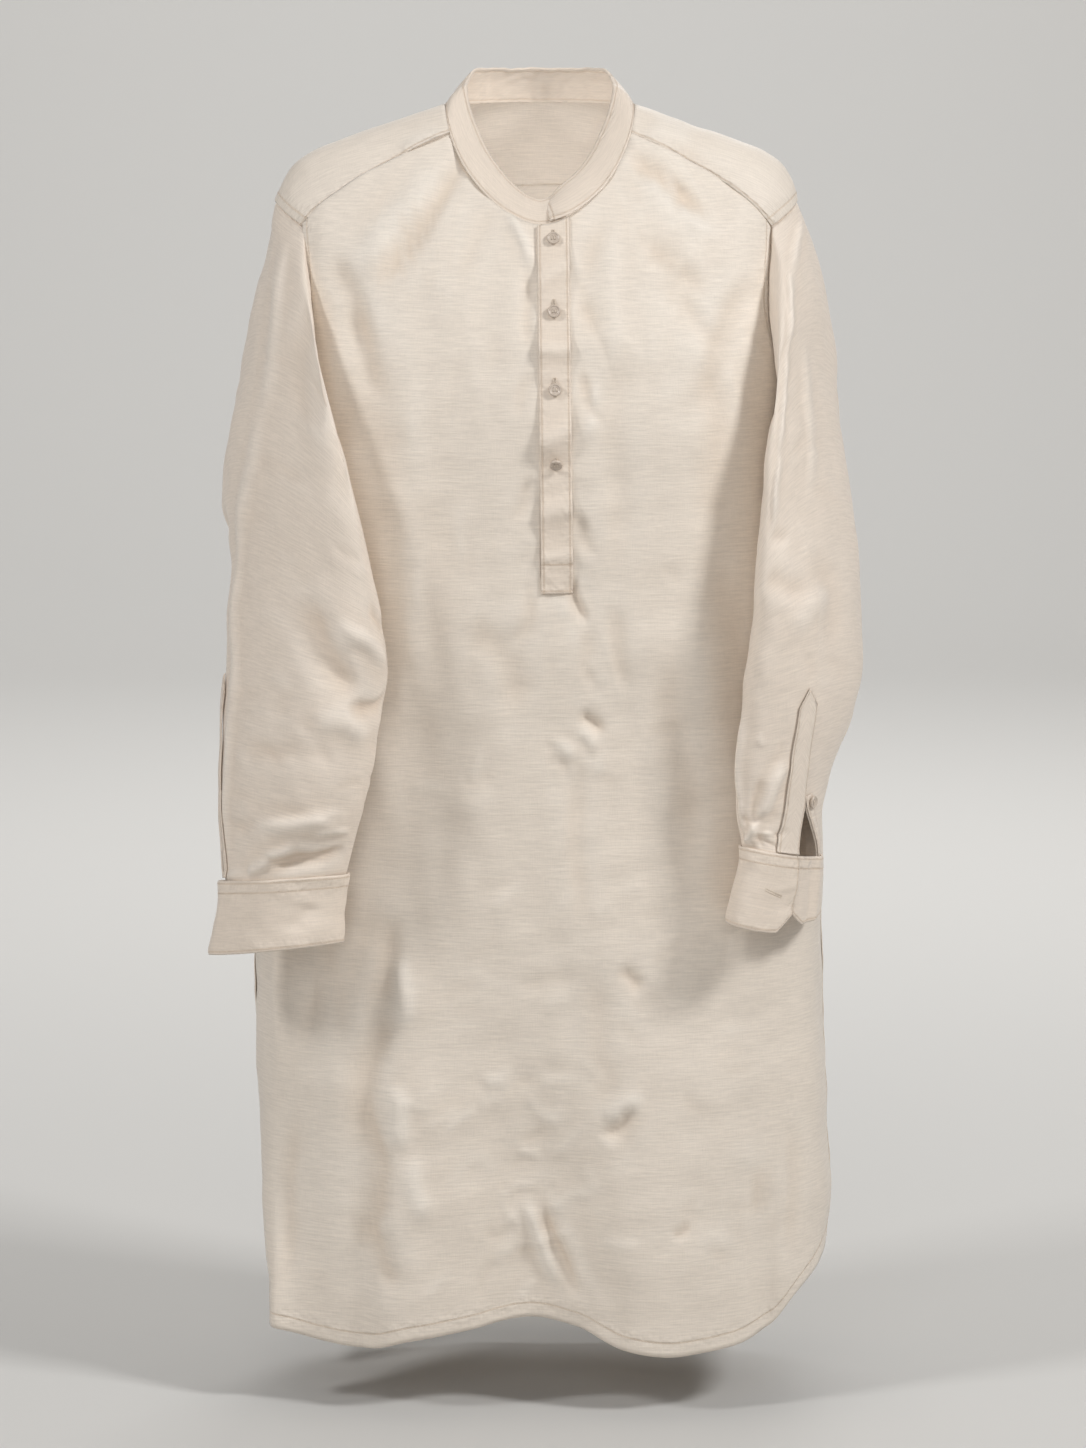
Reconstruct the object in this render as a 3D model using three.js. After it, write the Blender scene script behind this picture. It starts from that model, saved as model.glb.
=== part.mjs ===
// A long-sleeved kurta: a knee-length shirt of plain woven cloth, worn open-hollow on a general figure.
// Front and back hang from a shoulder yoke and part at two side slits. It has a band collar, a half-length
// buttoned placket, and two sleeves with buttoned cuffs and pointed sleeve plackets.
//
// Millimetres. +Z is up, -Y is the front, +X is the wearer's left. The origin is between the shoulders,
// at the height where the collar meets the shoulder line.
import * as THREE from "three";

// ---- Cloth ----
const CLOTH = 1.6; // wall of a panel, with its turnings
const BAND = 2.2; // wall of a collar, cuff or placket, which is two layers with a stiffener
const SEAM = 0.25; // each piece stops this far short of the seam line
const LAY = 0.7; // clear space under a piece that lies on another

// ---- Lengths, down from the shoulder ----
const UNDERARM = -262;
const SLIT_TOP = -805;
const PLACKET_END = -389;
const OPENING_END = -376; // where the cut under the placket stops
const BACK_YOKE = { centre: -68, side: -90 };

// ---- Figure: half widths and depths of level sections, and how square they are ----
const TORSO = [
  { z: 8, left: 66, right: 66, front: 18, back: 61, square: 0 },
  { z: 3.5, left: 78, right: 78, front: 26, back: 63, square: 0 },
  { z: 0, left: 88, right: 88, front: 30, back: 65, square: 0 },
  { z: -11, left: 121, right: 115, front: 36, back: 71, square: 0 },
  { z: -25, left: 161, right: 158, front: 43, back: 79, square: 0 },
  { z: -37, left: 190, right: 188, front: 50, back: 87, square: 0 },
  { z: -50, left: 206, right: 203, front: 58, back: 94, square: 0.005 },
  { z: -65, left: 214, right: 210, front: 66, back: 100, square: 0.01 },
  { z: -80, left: 219, right: 213, front: 76, back: 105, square: 0.015 },
  { z: -100, left: 218, right: 214, front: 87, back: 110, square: 0.02 },
  { z: -150, left: 214, right: 212, front: 108, back: 118, square: 0.03 },
  { z: -200, left: 209, right: 209, front: 121, back: 122, square: 0.04 },
  { z: -262, left: 206, right: 206, front: 129, back: 122, square: 0.045 },
  { z: -400, left: 214, right: 215, front: 129, back: 113, square: 0.045 },
  { z: -500, left: 224, right: 226, front: 125, back: 108, square: 0.045 },
  { z: -600, left: 234, right: 236, front: 122, back: 110, square: 0.045 },
  { z: -700, left: 241, right: 238, front: 121, back: 114, square: 0.045 },
  { z: -805, left: 239, right: 241, front: 122, back: 118, square: 0.05 },
  { z: -905, left: 233, right: 246, front: 124, back: 122, square: 0.05 },
  { z: -960, left: 229, right: 243, front: 125, back: 124, square: 0.05 },
  { z: -1040, left: 226, right: 238, front: 126, back: 126, square: 0.05 },
];

// Large folds of the body. Each is a soft ridge (out above 0) or trough, centred on x at its top and running
// down with a lean; it swells from nothing at its top and would end at its foot, which may be past the hem.
const FOLDS = [
  { face: "front", x: -10, lean: 0, top: -640, foot: -1380, width: 62, out: -26 },
  { face: "front", x: -148, lean: 0, top: -700, foot: -1240, width: 15, out: -7 },
  { face: "front", x: -118, lean: 0.02, top: -620, foot: -1400, width: 45, out: 13 },
  { face: "front", x: 100, lean: -0.02, top: -600, foot: -1400, width: 58, out: 14 },
  { face: "front", x: 176, lean: 0.05, top: -740, foot: -1260, width: 13, out: -8 },
  { face: "front", x: 70, lean: 0.1, top: -330, foot: -760, width: 45, out: -6 },
  { face: "front", x: -95, lean: -0.05, top: -330, foot: -800, width: 45, out: -6 },
  { face: "back", x: 0, lean: 0, top: -90, foot: -760, width: 40, out: -9 },
  { face: "back", x: -118, lean: 0.05, top: -240, foot: -1350, width: 40, out: -14 },
  { face: "back", x: 112, lean: -0.04, top: -220, foot: -1380, width: 42, out: -15 },
  { face: "back", x: -55, lean: 0, top: -560, foot: -1420, width: 45, out: 15 },
  { face: "back", x: 58, lean: 0.03, top: -540, foot: -1420, width: 46, out: 16 },
];

// ---- Hems, as they hang: their height across the figure, from side to side ----
const FRONT_HEM = [
  { x: -250, z: -1004 },
  { x: -222, z: -1010 },
  { x: -187, z: -1018 },
  { x: -150, z: -1022 },
  { x: -110, z: -1013 },
  { x: -60, z: -1006 },
  { x: -8, z: -998 },
  { x: 30, z: -1003 },
  { x: 70, z: -1020 },
  { x: 110, z: -1025 },
  { x: 160, z: -1020 },
  { x: 192, z: -1008 },
  { x: 212, z: -984 },
  { x: 230, z: -966 },
  { x: 240, z: -952 },
];

const BACK_HEM = [
  { x: -250, z: -1004 },
  { x: -150, z: -1010 },
  { x: 0, z: -1014 },
  { x: 150, z: -1012 },
  { x: 200, z: -1000 },
  { x: 226, z: -974 },
  { x: 245, z: -950 },
];

// ---- Neck edge and collar ----
const NECK = { x: 1, half: 78, high: 3.5, drop: 95.5, back: 6, round: 1.72 };
// The collar's top edge, and its ends in degrees round the neck: the end on the wearer's left laps over.
const COLLAR = {
  half: 60, side: 19, drop: 92, rear: 33, front: 60, back: 47, round: 1.54, // top edge
  inset: 0.9, swell: 2.5, // its foot stands this far inside the neck edge, and its middle swells out
  start: 18, end: -353, lap: 38, ease: 22,
};
const YOKE_NECK = 73; // degrees round the neck from the front where the front yoke seam meets the collar

const YOKE_CORNER = -95; // height where the front yoke seam meets the armhole
const HEM = -1000; // about where the hems hang

// ---- Armholes: the angle round the figure of each edge, from the front and from the back ----
const ARMHOLE = [
  { z: YOKE_CORNER, front: 61, back: 62 },
  { z: -115, front: 60, back: 62 },
  { z: -135, front: 59, back: 61.5 },
  { z: -160, front: 59, back: 61.5 },
  { z: -185, front: 61.5, back: 64 },
  { z: -215, front: 68, back: 70 },
  { z: -240, front: 77, back: 78 },
  { z: -256, front: 85, back: 85 },
  { z: UNDERARM, front: 89.94, back: 89.94 },
];
const TIP = -76; // height of the shoulder tip

// ---- Sleeves: rings through four points, on the side next to the body, front, outside and back ----
const RING = (inner, front, outer, back) => ({ inner, front, outer, back });
const RIGHT_SLEEVE = [
  RING([-206, 0, -262], [-187, -54, -150], [-219, 0, -77], [-190, 60, -150]),
  RING([-196, -50, -286], [-178, -112, -200], [-230, -18, -150], [-232, 46, -215]),
  RING([-168, -102, -322], [-166, -140, -262], [-239, -38, -225], [-234, 8, -285]),
  RING([-144, -126, -370], [-170, -156, -325], [-247, -52, -300], [-228, -30, -350]),
  RING([-126, -140, -434], [-180, -162, -400], [-254, -62, -385], [-208, -74, -425]),
  RING([-131, -144, -506], [-192, -168, -492], [-261, -82, -490], [-208, -94, -510]),
  RING([-147, -142, -576], [-203, -166, -566], [-262, -96, -560], [-210, -106, -574]),
  RING([-155, -136, -622], [-208, -154, -628], [-259, -108, -631], [-208, -116, -628]),
  RING([-163, -138, -674], [-214, -156, -683], [-268, -112, -690], [-216, -118, -684]),
];
const LEFT_SLEEVE = [
  RING([206, 0, -262], [184, -54, -150], [213, 0, -76], [190, 60, -150]),
  RING([206, -34, -288], [192, -102, -190], [229, -18, -135], [240, 42, -215]),
  RING([192, -78, -328], [190, -128, -255], [236, -34, -225], [242, 8, -290]),
  RING([181, -108, -375], [195, -142, -320], [250, -46, -305], [237, -24, -355]),
  RING([172, -126, -430], [209, -150, -400], [265, -56, -398], [235, -54, -428]),
  RING([163, -134, -505], [206, -150, -492], [261, -72, -488], [224, -82, -505]),
  RING([159, -140, -566], [203, -142, -562], [236, -74, -556], [197, -92, -570]),
  RING([166, -142, -597], [206, -138, -603], [230, -74, -609], [190, -96, -606]),
  RING([154, -146, -657], [199, -140, -665], [229, -72, -668], [184, -98, -664]),
];
const WRIST = 7; // the ring at the seam of sleeve and cuff; the next is the cuff's edge

// Per sleeve: the slit's place round the ring and how far its near and far edges move from there by the cuff,
// in degrees; which edge carries the wide strap; whether the cuff is buttoned; how far the fold behind the
// elbow stands out; and the pleats' places.
const SLEEVES = {
  right: {
    side: -1, rings: RIGHT_SLEEVE, slit: 172, near: 0, far: 9, strap: "far",
    closed: true, elbow: 14, pleats: [286, 303],
  },
  left: {
    side: 1, rings: LEFT_SLEEVE, slit: 110, near: -11, far: 30, strap: "near",
    closed: false, elbow: 4, pleats: [24.5, 41],
  },
};
const ELBOW = { from: 1.7, peak: 3.2, to: 3.8, at: 225, half: 62 };
const BESIDE = 5; // a sleeve hangs this clear of the body
const SLIT_RING = 5.88; // where the slit starts, counted in rings
const CUFF_LAP = 0.16; // the cuff reaches this far above the wrist ring, over the sleeve's end
const PLEAT = { from: 5.6, full: 6.5, out: 3.2 }; // a small fold of the sleeve into its cuff, in rings
const MITRE = { along: 20, up: 0.26 }; // the cut corner of a cuff
const LAP = { under: 4, over: 26, lift: 52, ease: 22 }; // a buttoned cuff's ends, in degrees past the slit
const APART = 1.5; // degrees from the slit to each end of a cuff that hangs open
const STRAP = { top: 4.86, peak: 4.7, narrow: 17, wide: 33 }; // pointed sleeve placket: rings, degrees
const BINDING = { width: 11, below: 0.05 }; // narrow strip on the slit's other edge: degrees, rings
const STRIP_END = 0.03; // the strap and the binding stop this far short of the cuff, in rings

// ---- Front placket and buttons ----
const PLACKET = { left: -2.5, right: 23.5, lean: 0.012, neck: 2.4, level: -88 }; // it leans from its level
const UNDER_PLACKET = { left: -6, right: 19, end: -384 };
const BUTTON = { radius: 5.3, thick: 2.4, dish: 0.7, edge: 0.8, sides: 14, off: 0.6 };
const FRONT_BUTTONS = [
  { z: -105, tilt: 0 },
  { z: -162, tilt: 0 },
  { z: -224, tilt: 0 },
  { z: -283, tilt: 38 },
];
const SLEEVE_BUTTON = { ring: 6.03, across: 8 };

const RAD = Math.PI / 180;
const lerp = THREE.MathUtils.lerp;
const clamp = THREE.MathUtils.clamp;
const smooth = (t) => THREE.MathUtils.smoothstep(t, 0, 1);
const vec = (x, y, z) => new THREE.Vector3(x, y, z);

// The row of a table at any place along its key column: a cubic through the rows, flat where they turn.
function rowAt(table, key, at) {
  const way = Math.sign(table[1][key] - table[0][key]);
  let i = 0;
  while (i < table.length - 2 && way * (at - table[i + 1][key]) > 0) i += 1;
  const span = table[i + 1][key] - table[i][key];
  const t = clamp((at - table[i][key]) / span, 0, 1);
  const row = {};
  for (const name of Object.keys(table[0])) {
    if (typeof table[0][name] !== "number") continue;
    const grade = (k) => (table[k + 1][name] - table[k][name]) / (table[k + 1][key] - table[k][key]);
    const slope = (k) => {
      if (k === 0) return grade(0);
      if (k === table.length - 1) return grade(k - 1);
      const [a, b] = [grade(k - 1), grade(k)];
      return a * b <= 0 ? 0 : (2 * a * b) / (a + b);
    };
    const [p, q] = [table[i][name], table[i + 1][name]];
    const [m, n] = [slope(i) * span, slope(i + 1) * span];
    row[name] = p + t * m + t * t * (3 * (q - p) - 2 * m - n) + t * t * t * (2 * (p - q) + m + n);
  }
  return row;
}

// ---- Body surface: theta is the angle round the figure from the front, to +X; z is the height ----

// A level section: an ellipse whose corners are pushed out by its third harmonic.
function shareAcross(theta, square) {
  return (Math.sin(theta) + square * Math.sin(3 * theta)) / (1 - square);
}

function figure(theta, z) {
  const s = rowAt(TORSO, "z", z);
  const across = shareAcross(theta, s.square);
  const deep = (Math.cos(theta) - s.square * Math.cos(3 * theta)) / (1 - s.square);
  return vec(across * (across < 0 ? s.left : s.right), -deep * (deep > 0 ? s.front : s.back), z);
}

// How far the folds push the cloth out at a point of the front or back.
function foldPush(theta, p) {
  const face = Math.cos(theta) > 0 ? "front" : "back";
  const away = clamp(3 * Math.abs(Math.cos(theta)), 0, 1);
  let push = 0;
  for (const f of FOLDS) {
    if (f.face !== face || p.z > f.top || p.z < f.foot) continue;
    const centre = f.x + f.lean * (f.top - p.z);
    const swell = Math.sin((Math.PI * (f.top - p.z)) / (f.top - f.foot)) ** 2;
    push += f.out * swell * Math.exp(-(((p.x - centre) / f.width) ** 2));
  }
  return push * smooth(away);
}

function body(theta, z) {
  const p = figure(theta, z);
  const push = foldPush(theta, p);
  return p.add(vec(Math.sin(theta), -Math.cos(theta), 0).multiplyScalar(push));
}

// Below the slits the front's free edges swing forward, the right one most.
const SWING = { left: -72, right: -6 };
function front(theta, z) {
  const p = body(theta, z);
  const open = smooth((SLIT_TOP - z) / 200);
  const edge = smooth((Math.abs(theta) / RAD - 45) / 45);
  p.y += open * edge * (theta < 0 ? SWING.left : SWING.right);
  return p;
}

// The angle at which the figure's section at height z is at x, on the front.
function angleAt(x, z) {
  const s = rowAt(TORSO, "z", z);
  const share = Math.min(1, Math.abs(x) / (x < 0 ? s.left : s.right));
  let [low, high] = [0, Math.PI / 2];
  for (let i = 0; i < 40; i += 1) {
    const middle = (low + high) / 2;
    if (shareAcross(middle, s.square) < share) low = middle;
    else high = middle;
  }
  return Math.sign(x) * low;
}

// A surface's point and outward normal, from its slopes.
function onSurface(surface, theta, z) {
  const [h, dz] = [0.004, 0.8];
  const along = surface(theta + h, z).sub(surface(theta - h, z));
  const up = surface(theta, z + dz).sub(surface(theta, z - dz));
  return { point: surface(theta, z), normal: along.cross(up).normalize() };
}

// ---- Walls ----

// A closed wall from rows of { point, normal }: an outer skin lifted off the points, an inner skin, and a rim
// round every open edge. Points that coincide become one, so a tube closes where its ends meet. `cut` says
// which cells of the grid are left out.
function wall(rows, thickness, lift = 0, cut = () => false) {
  const ids = new Map();
  const places = [];
  const id = ({ point, normal }) => {
    const key = point.toArray().map((c) => Math.round(c * 200)).join();
    if (!ids.has(key)) {
      ids.set(key, places.length);
      places.push({ point, normal });
    }
    return ids.get(key);
  };
  const grid = rows.map((row) => row.map(id));
  const faces = [];
  for (let i = 0; i + 1 < grid.length; i += 1) {
    for (let j = 0; j + 1 < grid[i].length; j += 1) {
      if (cut(i, j)) continue;
      const [a, b, c, d] = [grid[i][j], grid[i][j + 1], grid[i + 1][j + 1], grid[i + 1][j]];
      for (const face of [[a, b, c], [a, c, d]]) {
        if (new Set(face).size === 3) faces.push(face);
      }
    }
  }
  const edges = new Set(faces.flatMap(([a, b, c]) => [`${a},${b}`, `${b},${c}`, `${c},${a}`]));
  const count = places.length;
  const triangles = [...faces, ...faces.map(([a, b, c]) => [c + count, b + count, a + count])];
  for (const edge of edges) {
    const [a, b] = edge.split(",").map(Number);
    if (!edges.has(`${b},${a}`)) triangles.push([b, a, a + count], [b, a + count, b + count]);
  }
  const skin = (off) => places.flatMap(({ point, normal }) => {
    return point.clone().addScaledVector(normal, off).toArray();
  });
  return solid([...skin(lift), ...skin(lift - thickness)], triangles);
}

// An indexed mesh with its faces pointing out.
function solid(positions, triangles) {
  const corner = (i) => vec(...positions.slice(3 * i, 3 * i + 3));
  const volume = triangles.reduce((sum, [a, b, c]) => sum + corner(a).dot(corner(b).cross(corner(c))), 0);
  const faces = volume < 0 ? triangles.map(([a, b, c]) => [c, b, a]) : triangles;
  const geometry = new THREE.BufferGeometry();
  geometry.setAttribute("position", new THREE.Float32BufferAttribute(positions, 3));
  geometry.setIndex(faces.flat());
  geometry.computeVertexNormals();
  return geometry;
}

// Numbers from a to b in even steps, both ends included.
const steps = (a, b, count) => Array.from({ length: count + 1 }, (_, i) => lerp(a, b, i / count));

// ---- Seam lines on the body, as { theta, z } ----

// The neck edge at phi degrees round from the front, grown outwards on the figure by `more`.
function neckEdge(phi, more = 0) {
  const half = NECK.half + more;
  const shown = ((phi % 360) + 540) % 360 - 180;
  const side = Math.sign(shown) || 1;
  const turn = Math.abs(shown) * RAD;
  if (turn <= Math.PI / 2) {
    const x = half * Math.sin(turn) ** (2 / NECK.round);
    const high = NECK.high - 0.45 * more;
    const z = high - (NECK.drop + more) * Math.cos(turn) ** (2 / NECK.round);
    return { theta: angleAt(side * x + NECK.x * Math.cos(turn), z) || 0, z };
  }
  const rear = turn - Math.PI / 2;
  const z = lerp(NECK.high, NECK.back, Math.sin(rear)) - 0.45 * more;
  return { theta: side * (Math.PI / 2 + rear), z };
}

// The corner where the front yoke seam meets the armhole, and that of the back yoke seam.
const edgeRow = (z) => rowAt(ARMHOLE, "z", z);
const frontCorner = (side) => ({ theta: side * edgeRow(YOKE_CORNER).front * RAD, z: YOKE_CORNER });
const backCorner = (side) => {
  return { theta: side * (180 - edgeRow(BACK_YOKE.side).back) * RAD, z: BACK_YOKE.side };
};

// The front yoke seam, from the neck (0) to the armhole (1).
function frontYokeSeam(side, t) {
  const from = neckEdge(side * YOKE_NECK);
  const to = frontCorner(side);
  const sag = 6 * Math.sin(Math.PI * t) * (1 - t);
  return { theta: lerp(from.theta, to.theta, t), z: lerp(from.z, to.z, t) - sag };
}

// The back yoke seam across the back at theta.
function backYokeSeam(theta) {
  const spread = (Math.PI - Math.abs(theta)) / (Math.PI - Math.abs(backCorner(1).theta));
  return lerp(BACK_YOKE.centre, BACK_YOKE.side, Math.min(1, spread) ** 2);
}

const YOKE_STEPS = 6;
const OVER_SHOULDER = 6;
const BACK_COLUMNS = 22;
const armholeHeights = ARMHOLE.map((row) => row.z);

// The yoke's end over the shoulder, from the front corner (0) by the tip (0.5) to the back corner (1).
function shoulderEnd(side, t) {
  const [from, to] = t < 0.5 ? [frontCorner(side), { theta: (side * Math.PI) / 2, z: TIP }]
    : [{ theta: (side * Math.PI) / 2, z: TIP }, backCorner(side)];
  const share = t < 0.5 ? 2 * t : 2 * t - 1;
  const ease = t < 0.5 ? Math.sin((share * Math.PI) / 2) : 1 - Math.cos((share * Math.PI) / 2);
  return { theta: lerp(from.theta, to.theta, share), z: lerp(from.z, to.z, ease) };
}

// The whole armhole as a closed loop of { theta, z, alpha }: from the underarm up the front, over and down.
// alpha is the angle round the sleeve, 0 at the underarm, 90 in front, 180 at the tip and 270 behind.
function armhole(side) {
  const rise = armholeHeights.slice().reverse();
  const frontEdge = rise.map((z) => ({ theta: side * edgeRow(z).front * RAD, z }));
  const over = steps(0, 1, OVER_SHOULDER).slice(1).map((t) => shoulderEnd(side, t));
  const backEdge = armholeHeights.slice(1).map((z) => ({ theta: side * (180 - edgeRow(z).back) * RAD, z }));
  const loop = [...frontEdge, ...over, ...backEdge];
  const tip = rise.length - 1 + OVER_SHOULDER / 2;
  const round = (i) => (i < tip ? i / tip : 1 + (i - tip) / (loop.length - 1 - tip));
  return loop.map((p, i) => ({ ...p, alpha: 180 * round(i) }));
}

// ---- Panels ----

const sideHeights = [
  ...armholeHeights,
  ...steps(UNDERARM, SLIT_TOP, 15).slice(1),
  ...steps(SLIT_TOP, HEM, 6).slice(1),
];

// The front: columns run from its hem to the neck and yoke seams, rows from side to side. It is cut down
// the middle from the neck, under the placket.
function frontPanel() {
  const neck = (side) => steps(0, YOKE_NECK, 8).map((phi) => neckEdge(side * phi));
  const seam = (side) => steps(0, 1, YOKE_STEPS).slice(1).map((t) => frontYokeSeam(side, t));
  const left = [...neck(-1), ...seam(-1)].reverse();
  const right = [...neck(1), ...seam(1)];
  const widest = (z) => edgeRow(clamp(z, UNDERARM, YOKE_CORNER)).front * RAD;
  const column = (top, cut) => {
    const share = top.theta / widest(top.z);
    const hem = rowAt(FRONT_HEM, "x", front(share * widest(HEM), HEM).x).z;
    return sideHeights.map((z, i) => {
      const t = (z - sideHeights[0]) / (sideHeights.at(-1) - sideHeights[0]);
      const height = lerp(top.z - 2 * SEAM, hem, t);
      const placed = onSurface(front, share * widest(height), height);
      if (height > OPENING_END) placed.point.x += cut;
      return placed;
    });
  };
  const columns = [
    ...left.map((top, i) => column(top, i === left.length - 1 ? -0.8 : 0)),
    ...right.map((top, i) => column(top, i === 0 ? 0.8 : 0)),
  ];
  const rows = sideHeights.map((_, i) => columns.map((c) => c[i]));
  const middle = left.length - 1;
  return wall(rows, CLOTH, 0, (i, j) => j === middle && rows[i][j].point.z > OPENING_END);
}

// The back: from the yoke seam to its straight hem, between the armholes and side seams.
function backPanel() {
  const edge = (z) => Math.PI - edgeRow(clamp(z, UNDERARM, BACK_YOKE.side)).back * RAD;
  const rows = sideHeights.map((z, i) => steps(-1, 1, BACK_COLUMNS).map((u) => {
    const top = backYokeSeam(Math.PI - u * (Math.PI - edge(BACK_YOKE.side))) - 2 * SEAM;
    const t = (z - sideHeights[0]) / (sideHeights.at(-1) - sideHeights[0]);
    const low = Math.PI - u * (Math.PI - edge(UNDERARM));
    const height = lerp(top, rowAt(BACK_HEM, "x", body(low, HEM).x).z, t);
    return onSurface(body, Math.PI - u * (Math.PI - edge(height)), height);
  }));
  return wall(rows, CLOTH);
}

// The yoke: fans out from the neck edge to the front seams, the armholes and the back seam.
function yokePanel() {
  const across = BACK_COLUMNS / 2;
  const half = (side) => steps(0, OVER_SHOULDER + across, OVER_SHOULDER + across).map((k) => {
    const inner = neckEdge(side * lerp(YOKE_NECK, 180, k / (OVER_SHOULDER + across)));
    const outer = shoulderEnd(side, Math.min(1, k / OVER_SHOULDER));
    if (k > OVER_SHOULDER) {
      outer.theta = side * lerp(Math.abs(backCorner(1).theta), Math.PI, (k - OVER_SHOULDER) / across);
      outer.z = backYokeSeam(outer.theta);
    }
    return steps(0, 1, YOKE_STEPS).map((t) => {
      if (k === 0) return onSurface(body, frontYokeSeam(side, t).theta, frontYokeSeam(side, t).z);
      return onSurface(body, lerp(inner.theta, outer.theta, t), lerp(inner.z, outer.z, t));
    });
  });
  return wall([...half(-1), ...half(1).reverse().slice(1)], CLOTH);
}

// ---- Sleeves ----

// The armhole's point and normal at alpha degrees round the sleeve, moved just off the seam into the hole.
// `away` is the direction in the cloth's plane that leads off the body panels.
function armholeAt(side, loop, i) {
  const at = (k) => onSurface(body, loop[k].theta, loop[k].z);
  const last = loop.length - 1;
  const { point, normal } = at(i);
  const next = at(i === last ? 1 : i + 1).point;
  const before = at(i === 0 ? last - 1 : i - 1).point;
  const away = next.sub(before).cross(normal).multiplyScalar(side).normalize();
  return { point: point.addScaledVector(away, 3.6 * SEAM), normal, away };
}

// The smooth tube through a sleeve's rings. It takes a place along it, counted in rings, and an angle.
function tube({ rings, elbow, pleats }) {
  const tracks = ["inner", "front", "outer", "back"].map((name) => {
    return new THREE.CatmullRomCurve3(rings.map((ring) => vec(...ring[name])), false, "centripetal");
  });
  return (t, alpha) => {
    const share = clamp(t / (rings.length - 1), 0, 1);
    const [inner, front, outer, back] = tracks.map((track) => track.getPoint(share));
    const a = alpha * RAD;
    const mixed = (p, f, o, b) => inner.clone().multiplyScalar(p).addScaledVector(front, f)
      .addScaledVector(outer, o).addScaledVector(back, b);
    const centre = mixed(0.25, 0.25, 0.25, 0.25);
    const p = centre.clone().addScaledVector(mixed(0.5, 0, -0.5, 0), Math.cos(a))
      .addScaledVector(mixed(0, 0.5, 0, -0.5), Math.sin(a))
      .addScaledVector(mixed(0.25, -0.25, 0.25, -0.25), Math.cos(2 * a));
    const swell = t < ELBOW.peak ? smooth((t - ELBOW.from) / (ELBOW.peak - ELBOW.from))
      : 1 - smooth((t - ELBOW.peak) / (ELBOW.to - ELBOW.peak));
    const turn = ((alpha % 360) + 360) % 360;
    const near = Math.exp(-(((turn - ELBOW.at) / ELBOW.half) ** 2));
    const folded = smooth((t - PLEAT.from) / (PLEAT.full - PLEAT.from)) * (t > WRIST - 2 * CUFF_LAP ? 0 : 1);
    const pleat = pleats.some((place) => Math.abs(turn - place) < 3) ? PLEAT.out * folded : 0;
    return p.addScaledVector(p.clone().sub(centre).normalize(), elbow * swell * near + pleat);
  };
}

// Moves a point that is inside the body, or nearer to it than the gap, straight out to the gap.
function clearOfBody(p, gap) {
  if (gap === 0) return p;
  const s = rowAt(TORSO, "z", p.z);
  const theta = Math.atan2(p.x / (p.x < 0 ? s.left : s.right), -p.y / (p.y < 0 ? s.front : s.back));
  const { point, normal } = onSurface(body, theta, p.z);
  return p.addScaledVector(normal, Math.max(0, gap - p.clone().sub(point).dot(normal)));
}

// A sleeve's surface, slopes included: the tube, drawn on to the armhole near its top.
function sleeveSurface(sleeve) {
  const loop = armhole(sleeve.side);
  const shape = tube(sleeve);
  const seam = loop.map((row, i) => ({ ...armholeAt(sleeve.side, loop, i), alpha: row.alpha }));
  const pull = seam.map((row) => row.point.clone().sub(shape(0, row.alpha)));
  const pullAt = (alpha) => {
    const turn = ((alpha % 360) + 360) % 360;
    const i = Math.min(seam.length - 2, Math.floor((turn / 360) * (seam.length - 1)));
    const share = (turn - seam[i].alpha) / (seam[i + 1].alpha - seam[i].alpha);
    return pull[i].clone().lerp(pull[i + 1], clamp(share, 0, 1));
  };
  const place = (t, alpha) => {
    const p = shape(t, alpha).addScaledVector(pullAt(alpha), 1 - smooth(t / 1.6));
    return clearOfBody(p, BESIDE * smooth(t / 0.4));
  };
  const at = (t, alpha) => {
    const along = place(Math.min(t + 0.02, 8), alpha).sub(place(Math.max(t - 0.02, 0), alpha));
    const round = place(t, alpha + 1).sub(place(t, alpha - 1));
    const normal = along.cross(round).multiplyScalar(sleeve.side).normalize();
    return { point: place(t, alpha), normal };
  };
  return { at, seam };
}

// At the armhole the wall's end leans half way between the sleeve and the body, but never back over the body.
function seamNormal({ normal, away }, own) {
  const lean = normal.clone().add(own);
  lean.addScaledVector(away, -Math.max(0, lean.dot(away)));
  return lean.normalize();
}

// The angles of the slit's two edges at a place along the sleeve, and its one angle above it.
function slitAt(sleeve, t) {
  const open = smooth((t - SLIT_RING) / (WRIST - SLIT_RING));
  const line = sleeve.slit + (t > SLIT_RING ? 0.4 : 0);
  return { near: sleeve.slit + sleeve.near * open, far: line + sleeve.far * open };
}

function sleeveTube(sleeve) {
  const { at, seam } = sleeve.surface;
  const count = seam.length - 1;
  const start = Math.round((sleeve.slit / 360) * count);
  const top = WRIST - CUFF_LAP;
  const above = [...steps(0, 2, 8), ...steps(2, SLIT_RING, 11).slice(1)];
  const places = [...above, ...steps(SLIT_RING, top, 4).slice(1), WRIST];
  const columns = steps(0, count, count).flatMap((k) => {
    const from = (360 * (start + k)) / count % 360;
    const inPleat = sleeve.pleats.some((turn) => turn > from && turn < from + 360 / count);
    return k < count && inPleat ? [k, k + 0.5] : [k];
  });
  const rows = places.map((t, i) => columns.map((k) => {
    const { near, far } = slitAt(sleeve, t);
    const turned = lerp(far, near + 360, k / count);
    const alpha = lerp(seam[start].alpha + (360 * k) / count, turned, smooth(t / 3));
    if (i > 0) return at(t, alpha);
    const edge = seam[(start + Math.floor(k)) % count];
    const next = seam[(start + Math.ceil(k)) % count];
    const middle = { normal: edge.normal.clone().add(next.normal).normalize(), away: edge.away };
    const normal = seamNormal(middle, at(0.12, alpha).normal);
    return { point: edge.point.clone().lerp(next.point, k % 1), normal };
  }));
  return wall(rows, CLOTH);
}

for (const sleeve of Object.values(SLEEVES)) sleeve.surface = sleeveSurface(sleeve);

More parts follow.
